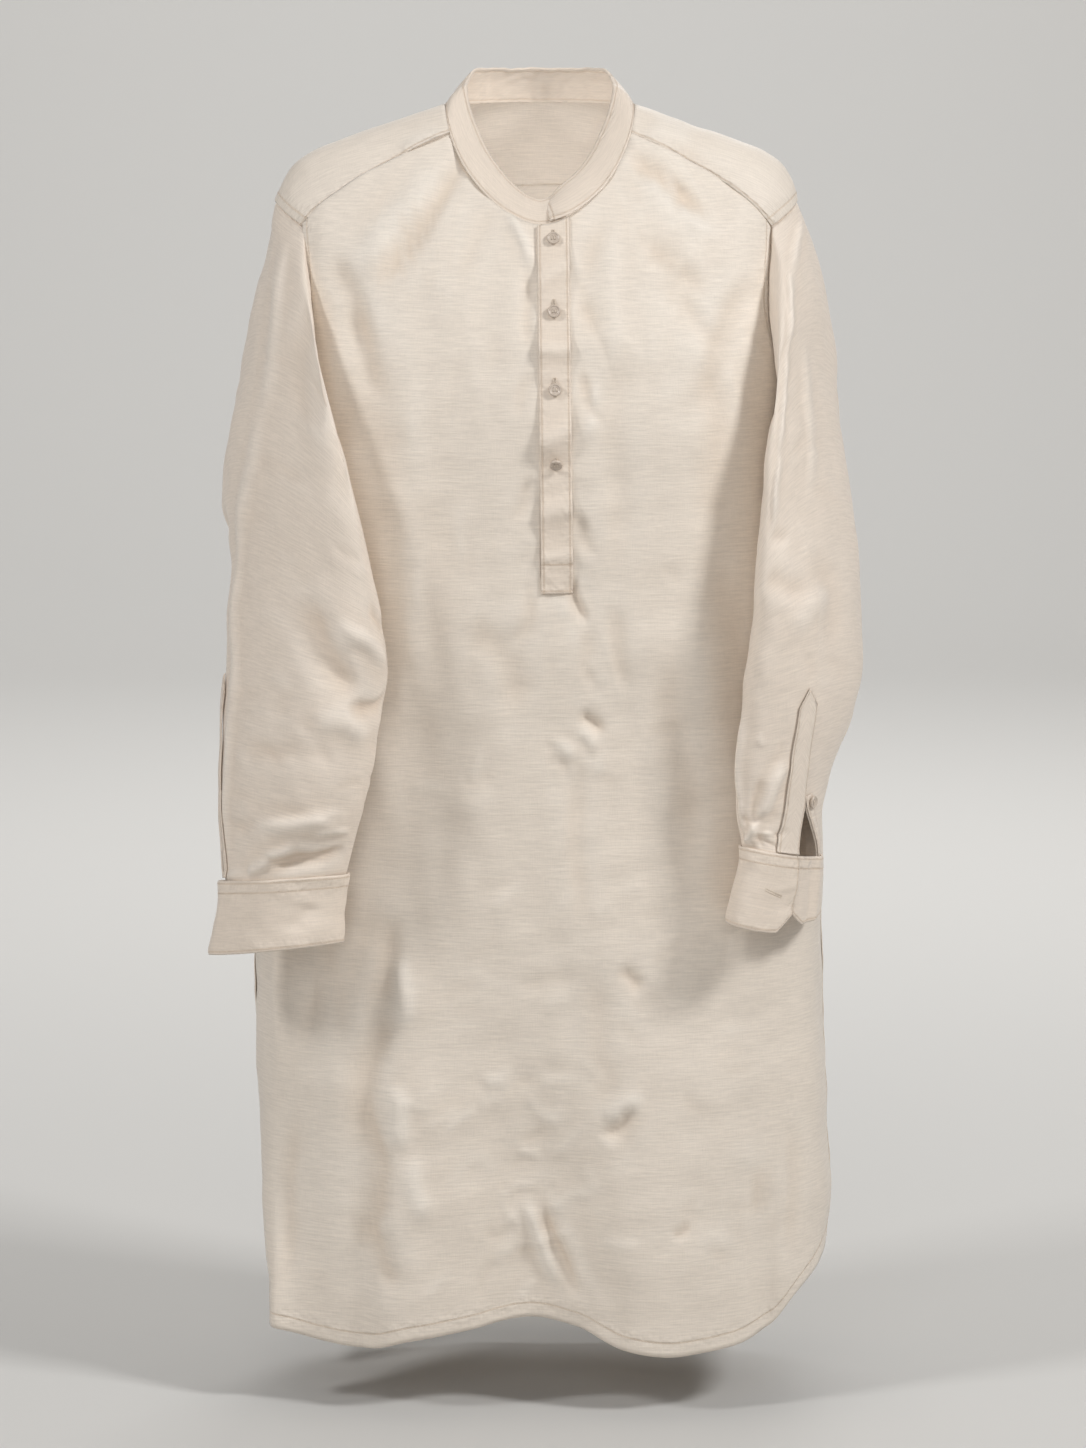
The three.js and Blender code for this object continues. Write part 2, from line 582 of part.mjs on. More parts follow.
// Cuffs and sleeve plackets lie on the sleeve: rows run down the sleeve, columns round it.
const OVER_SLEEVE = LAY + BAND;

function cuffBand(sleeve) {
  const { at } = sleeve.surface;
  const { near } = slitAt(sleeve, WRIST);
  const from = near + (sleeve.closed ? LAP.under : APART);
  const to = near + 360 + (sleeve.closed ? LAP.over : -APART);
  const count = 26;
  const rows = steps(0, 1, 3).map((u) => steps(from, to, count).map((alpha) => {
    const nearEnd = Math.min(alpha - from, to - alpha);
    const bottom = 8 - MITRE.up * clamp(1 - nearEnd / MITRE.along, 0, 1);
    const place = at(lerp(WRIST - CUFF_LAP, bottom, u), alpha);
    const lap = sleeve.closed ? smooth((alpha - to + LAP.lift) / LAP.ease) : 0;
    return { ...place, point: place.point.addScaledVector(place.normal, OVER_SLEEVE * (1 + lap)) };
  }));
  return wall(rows, BAND);
}

// The place on a sleeve `across` degrees outside one of the slit's edges.
function besideSlit(sleeve, t, edge, across) {
  const turn = slitAt(sleeve, t)[edge] + (edge === "far" ? across : -across);
  return sleeve.surface.at(t, turn);
}

// The pointed strip of a sleeve placket, which runs down one edge of the slit.
function sleevePlacket(sleeve) {
  const end = WRIST - CUFF_LAP - STRIP_END;
  const rows = steps(0, 1, 8).map((u) => steps(0, 1, 4).map((v) => {
    const point = lerp(STRAP.top, STRAP.peak, 1 - Math.abs(2 * v - 1));
    return besideSlit(sleeve, lerp(point, end, u), sleeve.strap, lerp(STRAP.narrow, STRAP.wide, u) * v);
  }));
  return wall(rows, BAND, OVER_SLEEVE);
}

// The narrow strip that binds the other edge of the slit.
function underStrip(sleeve) {
  const edge = sleeve.strap === "far" ? "near" : "far";
  const rows = steps(SLIT_RING + BINDING.below, WRIST - CUFF_LAP - STRIP_END, 5).map((t) => {
    return steps(0.5, BINDING.width, 2).map((across) => besideSlit(sleeve, t, edge, across));
  });
  return wall(rows, CLOTH, LAY + CLOTH);
}

// ---- Collar ----

// A point of the collar band: phi degrees round the neck, u up from the neck seam to the top edge.
function collarPoint(phi, u) {
  const edge = neckEdge(phi, -COLLAR.inset);
  const base = body(edge.theta, edge.z);
  const turn = ((phi % 360) + 360) % 360 * RAD;
  const round = (value) => Math.sign(value) * Math.abs(value) ** (2 / COLLAR.round);
  const [side, ahead] = [Math.sin(turn), Math.cos(turn)];
  const top = ahead > 0
    ? vec(COLLAR.half * round(side), -COLLAR.front * round(ahead), COLLAR.side - COLLAR.drop * round(ahead))
    : vec(COLLAR.half * side, -COLLAR.back * ahead, lerp(COLLAR.side, COLLAR.rear, smooth(-2 * ahead)));
  return base.lerp(top, u).addScaledVector(vec(side, -ahead, 0.4), COLLAR.swell * Math.sin(Math.PI * u));
}

function collarBand() {
  const rows = steps(0, 1, 3).map((u) => steps(COLLAR.start, COLLAR.end, 44).map((phi) => {
    const up = collarPoint(phi, u + 0.01).sub(collarPoint(phi, u - 0.01));
    const normal = collarPoint(phi + 0.5, u).sub(collarPoint(phi - 0.5, u)).cross(up).normalize();
    const lap = smooth((COLLAR.end + COLLAR.lap - phi) / COLLAR.ease);
    return { point: collarPoint(phi, u).addScaledVector(normal, lap * (BAND + LAY)), normal };
  }));
  return wall(rows, BAND);
}

// ---- Front placket ----

// Height of the neck edge at x on the front.
function neckHeight(x) {
  const across = (Math.abs(x - NECK.x) / NECK.half) ** NECK.round;
  return NECK.high - NECK.drop * (1 - across) ** (1 / NECK.round);
}

const placketLean = (z) => PLACKET.lean * (PLACKET.level - z);

function frontStrip({ left, right }, end, thickness, lift) {
  const rows = steps(0, 1, 12).map((u) => steps(left, right, 4).map((x) => {
    const z = lerp(neckHeight(x) - PLACKET.neck, end, u);
    return onSurface(front, angleAt(x + placketLean(z), z), z);
  }));
  return wall(rows, thickness, lift);
}

// ---- Buttons ----

// A dished disc standing on a place of a surface, its face along the normal.
function button({ point, normal }, lift, tilt = 0) {
  const { radius, thick, dish, edge, sides } = BUTTON;
  const profile = [
    [radius - edge, 0], [radius, edge], [radius, thick - edge], [radius - edge, thick],
    [radius - 2.5 * edge, thick - dish],
  ];
  const positions = profile.flatMap(([r, h]) => Array.from({ length: sides }, (_, i) => {
    const turn = (2 * Math.PI * i) / sides;
    return [r * Math.cos(turn), r * Math.sin(turn), h];
  })).flat();
  const [foot, face] = [profile.length * sides, profile.length * sides + 1];
  positions.push(0, 0, 0, 0, 0, thick - dish);
  const triangles = [];
  for (let i = 0; i < sides; i += 1) {
    const next = (i + 1) % sides;
    for (let k = 0; k + 1 < profile.length; k += 1) {
      const [a, b, c, d] = [k * sides + i, k * sides + next, (k + 1) * sides + next, (k + 1) * sides + i];
      triangles.push([a, b, c], [a, c, d]);
    }
    const rim = (profile.length - 1) * sides;
    triangles.push([foot, next, i], [face, rim + i, rim + next]);
  }
  const geometry = solid(positions, triangles);
  const rise = lift + (radius - edge) * Math.sin(tilt * RAD);
  geometry.rotateX(tilt * RAD);
  geometry.applyQuaternion(new THREE.Quaternion().setFromUnitVectors(vec(0, 0, 1), normal));
  return geometry.translate(...point.clone().addScaledVector(normal, rise).toArray());
}

// ---- The kurta ----

const kurta = new THREE.Group();
const ECRU = 0xe6dccb;
const RESIN = 0xefe8db;
function add(name, geometry, color = ECRU, roughness = 0.85) {
  const mesh = new THREE.Mesh(geometry, new THREE.MeshStandardMaterial({ color, roughness, metalness: 0 }));
  mesh.name = name;
  kurta.add(mesh);
  return mesh;
}
add("front_panel", frontPanel());
add("back_panel", backPanel());
add("yoke", yokePanel());
add("right_sleeve", sleeveTube(SLEEVES.right));
add("left_sleeve", sleeveTube(SLEEVES.left));
add("collar_band", collarBand());
add("front_placket", frontStrip(PLACKET, PLACKET_END, BAND, LAY + BAND));
add("under_placket", frontStrip(UNDER_PLACKET, UNDER_PLACKET.end, CLOTH, -CLOTH - LAY));
FRONT_BUTTONS.forEach(({ z, tilt }, i) => {
  const x = (PLACKET.left + PLACKET.right) / 2 + placketLean(z);
  const place = onSurface(front, angleAt(x, z), z);
  add(`front_button_${i + 1}`, button(place, LAY + BAND + BUTTON.off, tilt), RESIN, 0.4);
});
for (const [name, sleeve] of Object.entries(SLEEVES)) {
  add(`${name}_cuff`, cuffBand(sleeve));
  add(`${name}_sleeve_placket`, sleevePlacket(sleeve));
  add(`${name}_slit_binding`, underStrip(sleeve));
}
const beside = besideSlit(SLEEVES.left, SLEEVE_BUTTON.ring, "far", SLEEVE_BUTTON.across);
add("left_sleeve_button", button(beside, LAY + CLOTH + BUTTON.off), RESIN, 0.4);

export default kurta;
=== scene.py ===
import math

import bpy
import numpy as np
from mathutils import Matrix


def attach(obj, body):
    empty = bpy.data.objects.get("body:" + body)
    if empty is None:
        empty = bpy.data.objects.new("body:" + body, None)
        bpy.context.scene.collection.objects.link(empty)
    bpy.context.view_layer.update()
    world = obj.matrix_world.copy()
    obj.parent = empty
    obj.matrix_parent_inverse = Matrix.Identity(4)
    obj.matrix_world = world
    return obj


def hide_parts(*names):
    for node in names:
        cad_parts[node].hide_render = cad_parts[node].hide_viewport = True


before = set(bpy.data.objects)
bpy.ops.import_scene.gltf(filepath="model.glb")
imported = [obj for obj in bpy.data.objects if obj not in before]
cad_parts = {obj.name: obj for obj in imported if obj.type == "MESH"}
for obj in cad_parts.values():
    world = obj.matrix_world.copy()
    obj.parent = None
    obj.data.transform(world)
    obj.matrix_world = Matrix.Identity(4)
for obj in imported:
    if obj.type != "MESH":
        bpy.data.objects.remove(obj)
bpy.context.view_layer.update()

# ---- Viewpoint ------------------------------------------------------------------------------------------
# The kurta is seen from the front, a little above, through a long lens.

VIEW_DISTANCE = 4.2  # m, from the middle of the kurta
VIEW_RISE = math.radians(8)  # the camera looks down by this much
VIEW_CENTRE = (0.0025, 0.0, -0.5135)  # m, what is at the middle of the picture
LENS = 124.3  # mm on a 36 mm frame, along the picture's height

camera = bpy.data.objects.new("camera", bpy.data.cameras.new("camera"))
bpy.context.scene.collection.objects.link(camera)
bpy.context.scene.camera = camera
camera.data.sensor_width = 36
camera.data.lens = LENS
camera.location = (
    VIEW_CENTRE[0],
    VIEW_CENTRE[1] - VIEW_DISTANCE * math.cos(VIEW_RISE),
    VIEW_CENTRE[2] + VIEW_DISTANCE * math.sin(VIEW_RISE),
)
camera.rotation_euler = (math.pi / 2 - VIEW_RISE, 0, 0)

# ---- Front panel ----------------------------------------------------------------------------------------
# One length of cream plain-woven cloth from the yoke seams to the knee, cut for the neck and armholes.
# It hangs from the yoke, is sewn to the back down to the side slits, and is hemmed all round below them.
# Lengths are millimetres up to the point where a mesh is made.

# Level sections of the figure that fills the cloth: half widths, depths, and how square the section is.
FIGURE = [
    {"z": 8, "left": 66, "right": 66, "front": 18, "back": 61, "square": 0},
    {"z": 3.5, "left": 78, "right": 78, "front": 26, "back": 63, "square": 0},
    {"z": 0, "left": 88, "right": 88, "front": 30, "back": 65, "square": 0},
    {"z": -11, "left": 121, "right": 115, "front": 36, "back": 71, "square": 0},
    {"z": -25, "left": 161, "right": 158, "front": 43, "back": 79, "square": 0},
    {"z": -37, "left": 190, "right": 188, "front": 50, "back": 87, "square": 0},
    {"z": -50, "left": 206, "right": 203, "front": 58, "back": 94, "square": 0.005},
    {"z": -65, "left": 214, "right": 210, "front": 66, "back": 100, "square": 0.01},
    {"z": -80, "left": 219, "right": 213, "front": 76, "back": 105, "square": 0.015},
    {"z": -100, "left": 218, "right": 214, "front": 87, "back": 110, "square": 0.02},
    {"z": -150, "left": 214, "right": 212, "front": 108, "back": 118, "square": 0.03},
    {"z": -200, "left": 209, "right": 209, "front": 121, "back": 122, "square": 0.04},
    {"z": -262, "left": 206, "right": 206, "front": 129, "back": 122, "square": 0.045},
    {"z": -400, "left": 214, "right": 215, "front": 129, "back": 113, "square": 0.045},
    {"z": -500, "left": 224, "right": 226, "front": 125, "back": 108, "square": 0.045},
    {"z": -600, "left": 234, "right": 236, "front": 122, "back": 110, "square": 0.045},
    {"z": -700, "left": 241, "right": 238, "front": 121, "back": 114, "square": 0.045},
    {"z": -805, "left": 239, "right": 241, "front": 122, "back": 118, "square": 0.05},
    {"z": -905, "left": 233, "right": 246, "front": 124, "back": 122, "square": 0.05},
    {"z": -960, "left": 229, "right": 243, "front": 125, "back": 124, "square": 0.05},
    {"z": -1040, "left": 226, "right": 238, "front": 126, "back": 126, "square": 0.05},
]
# The large waves of the hanging cloth: a ridge or trough centred on x at its top, drifting by lean.
WAVES = [
    {"face": "front", "x": -10, "lean": 0, "top": -640, "foot": -1380, "width": 62, "out": -26},
    {"face": "front", "x": -148, "lean": 0, "top": -700, "foot": -1240, "width": 15, "out": -7},
    {"face": "front", "x": -118, "lean": 0.02, "top": -620, "foot": -1400, "width": 45, "out": 13},
    {"face": "front", "x": 100, "lean": -0.02, "top": -600, "foot": -1400, "width": 58, "out": 14},
    {"face": "front", "x": 176, "lean": 0.05, "top": -740, "foot": -1260, "width": 13, "out": -8},
    {"face": "front", "x": 70, "lean": 0.1, "top": -330, "foot": -760, "width": 45, "out": -6},
    {"face": "front", "x": -95, "lean": -0.05, "top": -330, "foot": -800, "width": 45, "out": -6},
    {"face": "back", "x": 0, "lean": 0, "top": -90, "foot": -760, "width": 40, "out": -9},
    {"face": "back", "x": -118, "lean": 0.05, "top": -240, "foot": -1350, "width": 40, "out": -14},
    {"face": "back", "x": 112, "lean": -0.04, "top": -220, "foot": -1380, "width": 42, "out": -15},
    {"face": "back", "x": -55, "lean": 0, "top": -560, "foot": -1420, "width": 45, "out": 15},
    {"face": "back", "x": 58, "lean": 0.03, "top": -540, "foot": -1420, "width": 46, "out": 16},
]
FRONT_HEM = [
    {"x": -250, "z": -1004},
    {"x": -222, "z": -1010},
    {"x": -187, "z": -1018},
    {"x": -150, "z": -1022},
    {"x": -110, "z": -1013},
    {"x": -60, "z": -1006},
    {"x": -8, "z": -998},
    {"x": 30, "z": -1003},
    {"x": 70, "z": -1020},
    {"x": 110, "z": -1025},
    {"x": 160, "z": -1020},
    {"x": 192, "z": -1008},
    {"x": 212, "z": -984},
    {"x": 230, "z": -966},
    {"x": 240, "z": -952},
]
# The edges of the armhole, in degrees round the figure from the front and from the back.
ARMHOLE = [
    {"z": -262, "front": 89.94, "back": 89.94},
    {"z": -256, "front": 85, "back": 85},
    {"z": -240, "front": 77, "back": 78},
    {"z": -215, "front": 68, "back": 70},
    {"z": -185, "front": 61.5, "back": 64},
    {"z": -160, "front": 59, "back": 61.5},
    {"z": -135, "front": 59, "back": 61.5},
    {"z": -115, "front": 60, "back": 62},
    {"z": -95, "front": 61, "back": 62},
]
UNDERARM, SLIT_TOP = -262, -805
NECK_HALF, NECK_HIGH, NECK_DROP, NECK_BACK, NECK_ROUND, NECK_SHIFT = 78, 3.5, 95.5, 6, 1.72, 1
YOKE_NECK = 73  # degrees round the neck, from the front, where the front yoke seam starts
YOKE_SAG = 6
EDGE_SWING = {"left": -72, "right": -6}  # below the slits the free edges swing forward
CLOTH = 0.9  # thickness of the cloth with its nap
DEPTH = 2.2  # all creases are this many times as deep as their listed heights


def read_table(rows, key, at):
    """Each number column of a table at the places `at` of its key column: a cubic through the rows. The
    slope at a row is the harmonic mean of the slopes either side, and zero where the column turns."""
    rows = sorted(rows, key=lambda row: row[key])
    place = np.array([row[key] for row in rows], float)
    i = np.clip(np.searchsorted(place, at, side="right") - 1, 0, len(place) - 2)
    span = place[i + 1] - place[i]
    t = np.clip((at - place[i]) / span, 0, 1)
    out = {}
    for name in (n for n in rows[0] if not isinstance(rows[0][n], str)):
        value = np.array([row[name] for row in rows], float)
        grade = np.diff(value) / np.diff(place)
        both, total = grade[:-1] * grade[1:], grade[:-1] + grade[1:]
        middle = np.where(both > 0, 2 * both / np.where(total == 0, 1, total), 0)
        slope = np.concatenate([grade[:1], middle, grade[-1:]])
        p, q, m, n = value[i], value[i + 1], slope[i] * span, slope[i + 1] * span
        out[name] = p + t * m + t**2 * (3 * (q - p) - 2 * m - n) + t**3 * (2 * (p - q) + m + n)
    return out


def smooth(t):
    """0 below 0, 1 above 1, and a soft S between."""
    t = np.clip(t, 0, 1)
    return t * t * (3 - 2 * t)


def share_across(theta, square):
    """How far out to the side a section is at theta, as a share of its half width. The section is an
    ellipse whose corners are pushed out by its third harmonic."""
    return (np.sin(theta) + square * np.sin(3 * theta)) / (1 - square)


def body(theta, z):
    """The cloth of the body at an angle round the figure from the front and a height: the level section,
    with the waves pushed out along the radius."""
    s = read_table(FIGURE, "z", z)
    across = share_across(theta, s["square"])
    deep = (np.cos(theta) - s["square"] * np.cos(3 * theta)) / (1 - s["square"])
    x = across * np.where(across < 0, s["left"], s["right"])
    y = -deep * np.where(deep > 0, s["front"], s["back"])
    push = np.zeros(np.broadcast(theta, z).shape)
    for wave in WAVES:
        face = np.cos(theta) > 0 if wave["face"] == "front" else np.cos(theta) <= 0
        down = (wave["top"] - z) / (wave["top"] - wave["foot"])
        swell = np.where((down > 0) & (down < 1) & face, np.sin(np.pi * np.clip(down, 0, 1)) ** 2, 0)
        centre = wave["x"] + wave["lean"] * (wave["top"] - z)
        push = push + wave["out"] * swell * np.exp(-(((x - centre) / wave["width"]) ** 2))
    push = push * smooth(3 * np.abs(np.cos(theta)))
    return np.stack([x + push * np.sin(theta), y - push * np.cos(theta), z + 0 * push], -1)


def front_cloth(theta, z):
    """The body's cloth on the front, whose free edges below the slits swing forward."""
    p = body(theta, z)
    loose = smooth((SLIT_TOP - z) / 200) * smooth((np.degrees(np.abs(theta)) - 45) / 45)
    p[..., 1] += loose * np.where(theta < 0, EDGE_SWING["left"], EDGE_SWING["right"])
    return p


def angle_at(x, z):
    """The angle round the front at which the level section at z reaches x, found by halving."""
    s = read_table(FIGURE, "z", z)
    share = np.minimum(1, np.abs(x) / np.where(x < 0, s["left"], s["right"]))
    low, high = np.zeros_like(share), np.full_like(share, np.pi / 2)
    for _ in range(30):
        middle = (low + high) / 2
        short = share_across(middle, s["square"]) < share
        low, high = np.where(short, middle, low), np.where(short, high, middle)
    return np.sign(x) * low


def neck_edge(phi, more=0.0):
    """The neck seam at phi degrees round from the front, as an angle round the figure and a height. In
    front it is a rounded V, behind it is nearly level. `more` widens it all round."""
    shown = (np.asarray(phi, float) + 180) % 360 - 180
    side, turn = np.where(shown < 0, -1.0, 1.0), np.radians(np.abs(shown))
    half, high = NECK_HALF + more, NECK_HIGH - 0.45 * more
    ahead = np.clip(np.cos(turn), 0, 1)
    x = half * np.sin(np.minimum(turn, np.pi / 2)) ** (2 / NECK_ROUND)
    z_front = high - (NECK_DROP + more) * ahead ** (2 / NECK_ROUND)
    z_back = NECK_HIGH + (NECK_BACK - NECK_HIGH) * np.sin(np.maximum(turn - np.pi / 2, 0)) - 0.45 * more
    in_front = turn <= np.pi / 2
    z = np.where(in_front, z_front, z_back)
    return np.where(in_front, angle_at(side * x + NECK_SHIFT * ahead, z), side * turn), z


def armhole_angle(z, face):
    """The angle of the armhole's edge at height z, from the middle of the front or of the back."""
    return np.radians(read_table(ARMHOLE, "z", np.clip(z, UNDERARM, ARMHOLE[-1]["z"]))[face])


def front_yoke_seam(side, t):
    """The front yoke seam from the neck (t 0) to the armhole (t 1): straight round the figure, sagging."""
    theta, z = neck_edge(side * YOKE_NECK)
    corner = ARMHOLE[-1]["z"]
    sag = YOKE_SAG * np.sin(np.pi * t) * (1 - t)
    end = side * armhole_angle(corner, "front")
    return theta + (end - theta) * t, z + (corner - z) * t - sag


def normals_of(grid):
    """Unit normals of a grid of points: the slope down its rows crossed with the slope along them."""
    n = np.cross(np.gradient(grid, axis=0), np.gradient(grid, axis=1))
    return n / np.maximum(np.linalg.norm(n, axis=-1, keepdims=True), 1e-9)


def crease(start, end, width, out, bow=0, skew=0):
    """A crease of the cloth from one point of its face to another, bowed to one side: a ridge that stands
    out, or a trough where out is negative. Its two flanks share its width unevenly by skew."""
    return {"start": start, "end": end, "width": width, "out": DEPTH * out, "bow": bow, "skew": skew}


def crease_push(a, b, creases, turn=None):
    """How far creases push the cloth out at the places (a, b): each is a bell across its line, which
    wanders a little and fades at both ends. On a tube, a repeats after one turn."""
    push = np.zeros(np.broadcast(a, b).shape)
    for k, c in enumerate(creases):
        (a1, b1), (a2, b2) = c["start"], c["end"]
        run, drop = a2 - a1, b2 - b1
        length = math.hypot(run, drop)
        from_a = a - a1
        if turn:
            from_a = (from_a - run / 2 + turn / 2) % turn - turn / 2 + run / 2
        s = (from_a * run + (b - b1) * drop) / length**2
        off = (from_a * drop - (b - b1) * run) / length
        off = off - c["bow"] * (1 - (2 * s - 1) ** 2) - 0.22 * c["width"] * np.sin(8 * s + 2.4 * k)
        flank = c["width"] * np.where(off < 0, 1 - c["skew"], 1 + c["skew"])
        push += c["out"] * smooth(s / 0.3) * smooth((1 - s) / 0.35) * np.exp(-((off / flank) ** 2))
    return push


def wrinkles(patches, seed):
    """Small creases, about as many ridges as troughs, scattered over patches of the cloth: each lies near
    its patch's slope in degrees, with a seeded place, turn, length and height."""
    rng = np.random.default_rng(seed)
    made = []
    for patch in patches:
        for _ in range(patch["count"]):
            middle = np.array(patch["at"]) + np.array(patch["spread"]) * rng.uniform(-1, 1, 2)
            way = math.radians(patch["way"] + rng.normal(0, 24))
            half = patch["length"] * rng.uniform(0.3, 0.8) * np.array([math.cos(way), math.sin(way)])
            out = patch["out"] * rng.uniform(0.4, 1) * rng.choice([-1, 1])
            made.append(crease(middle - half, middle + half, rng.uniform(3.4, 6.5), out, rng.normal(0, 2)))
    return made


def uneven_push(points, amount, reach, seed):
    """How far the cloth wanders in and out: a sum of sixteen long waves with seeded ways and phases."""
    rng = np.random.default_rng(seed)
    push = np.zeros(points.shape[:-1])
    for _ in range(16):
        push += np.sin(points @ (rng.normal(size=3) / reach) * 2 * np.pi + rng.uniform(0, 6.3))
    return amount * push / 4


def lengths_along(grid, axis):
    """How far along its own line each point of a grid is, from the line's first point."""
    step = np.linalg.norm(np.diff(grid, axis=axis), axis=-1)
    start = np.zeros_like(np.take(step, [0], axis=axis))
    return np.concatenate([start, np.cumsum(step, axis=axis)], axis=axis)


def sample(grid, i, j):
    """A grid's value between its points, at fractional rows i and columns j."""
    i, j = np.broadcast_arrays(np.asarray(i, float), np.asarray(j, float))
    i0 = np.clip(i.astype(int), 0, grid.shape[0] - 2)
    j0 = np.clip(j.astype(int), 0, grid.shape[1] - 2)
    s, t = (i - i0)[..., None], (j - j0)[..., None]
    top = grid[i0, j0] * (1 - t) + grid[i0, j0 + 1] * t
    low = grid[i0 + 1, j0] * (1 - t) + grid[i0 + 1, j0 + 1] * t
    return top * (1 - s) + low * s


def painted_shade_of(push):
    """How deep in a fold each point of a grid lies, from -0.5 on a ridge to 1 in a trough: how much further
    in the creases push it than the mean of the places 4 and 8 rows and columns away, over 5 mm. It is
    the painted shade of the folds: troughs are painted darker and ridges a little lighter."""
    ring_mean = np.zeros_like(push)
    edge = np.pad(push, 8, mode="edge")
    rows, columns = push.shape
    for down, right in ((4, 4), (4, -4), (8, 0), (0, 8)):
        for sign in (-1, 1):
            i, j = 8 + sign * down, 8 + sign * right
            ring_mean += edge[i : i + rows, j : j + columns] / 8
    return np.clip((ring_mean - push) / 5, -0.5, 1)


def cloth_object(name, grid, place, wall, sewn=None, skip=None, push=None):
    """Makes an object of a grid of points in millimetres. Four neighbours make a face, points that coincide
    are joined, which leaves three corners or no face, and a wall grows inwards. `place` is each point's
    place on the flat cloth, `sewn` its distances from up to three stitched lines, `skip` the faces that are
    cut away, and `push` how far creases push the cloth out, from which the painted shade of the folds is
    found."""
    rows, columns = grid.shape[:2]
    corner = np.arange(rows * columns).reshape(rows, columns)
    quads = np.stack([corner[:-1, :-1], corner[1:, :-1], corner[1:, 1:], corner[:-1, 1:]], -1)
    quads = quads.reshape(-1, 4) if skip is None else quads[~skip]
    points = grid.reshape(-1, 3)
    _, first, joined = np.unique(np.round(points, 2), axis=0, return_index=True, return_inverse=True)
    faces = joined.ravel()[quads]
    apart = faces != np.roll(faces, 1, axis=1)
    count = apart.sum(axis=1)
    apart[count < 3] = False
    faces = np.split(faces[apart], np.cumsum(count[count > 2])[:-1])
    mesh = bpy.data.meshes.new(name)
    mesh.from_pydata(points[first] / 1000, [], faces)
    mesh.uv_layers.new(name="cloth").data.foreach_set("uv", place.reshape(-1, 2)[quads[apart]].ravel() / 1000)
    if sewn is not None:
        lines = mesh.attributes.new("sewn", "FLOAT_VECTOR", "POINT")
        lines.data.foreach_set("vector", sewn.reshape(-1, 3)[first].ravel())
    if push is not None:
        # Painted shade: how deep in a fold each point lies, which darkens troughs and lightens ridges in the colour.
        deep = mesh.attributes.new("painted_shade", "FLOAT", "POINT")
        deep.data.foreach_set("value", painted_shade_of(push).reshape(-1)[first])
    mesh.shade_smooth()
    piece = bpy.data.objects.new(name, mesh)
    bpy.context.scene.collection.objects.link(piece)
    if wall:
        modifier = piece.modifiers.new("wall", "SOLIDIFY")
        modifier.thickness = wall / 1000
        modifier.offset = -1
    return piece


def stand_for(piece, node, material):
    """Lets a piece ride on the kurta in place of one node of it, and gives it its finish."""
    piece.data.materials.append(material)
    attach(piece, "root")
    if node:
        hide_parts(node)


def add_node(tree, kind, inputs=None, **settings):
    """Adds a node, with its settings, and sets each named input to a value or links it from a socket."""
    made = tree.nodes.new(kind)
    for key, value in settings.items():
        setattr(made, key, value)
    for key, value in (inputs or {}).items():
        if isinstance(value, bpy.types.NodeSocket):
            tree.links.new(value, made.inputs[key])
        else:
            made.inputs[key].default_value = value
    return made


def do_sum(tree, operation, *values):
    """One step of arithmetic in a node tree, as the socket that holds its result."""
    return add_node(tree, "ShaderNodeMath", dict(enumerate(values)), operation=operation).outputs[0]


def new_group(name, inputs, outputs):
    """An empty node group with named sockets, and its input and output nodes."""
    group = bpy.data.node_groups.new(name, "ShaderNodeTree")
    for title, kind in inputs.items():
        group.interface.new_socket(title, in_out="INPUT", socket_type=kind)
    for title, kind in outputs.items():
        group.interface.new_socket(title, in_out="OUTPUT", socket_type=kind)
    return group, group.nodes.new("NodeGroupInput"), group.nodes.new("NodeGroupOutput")


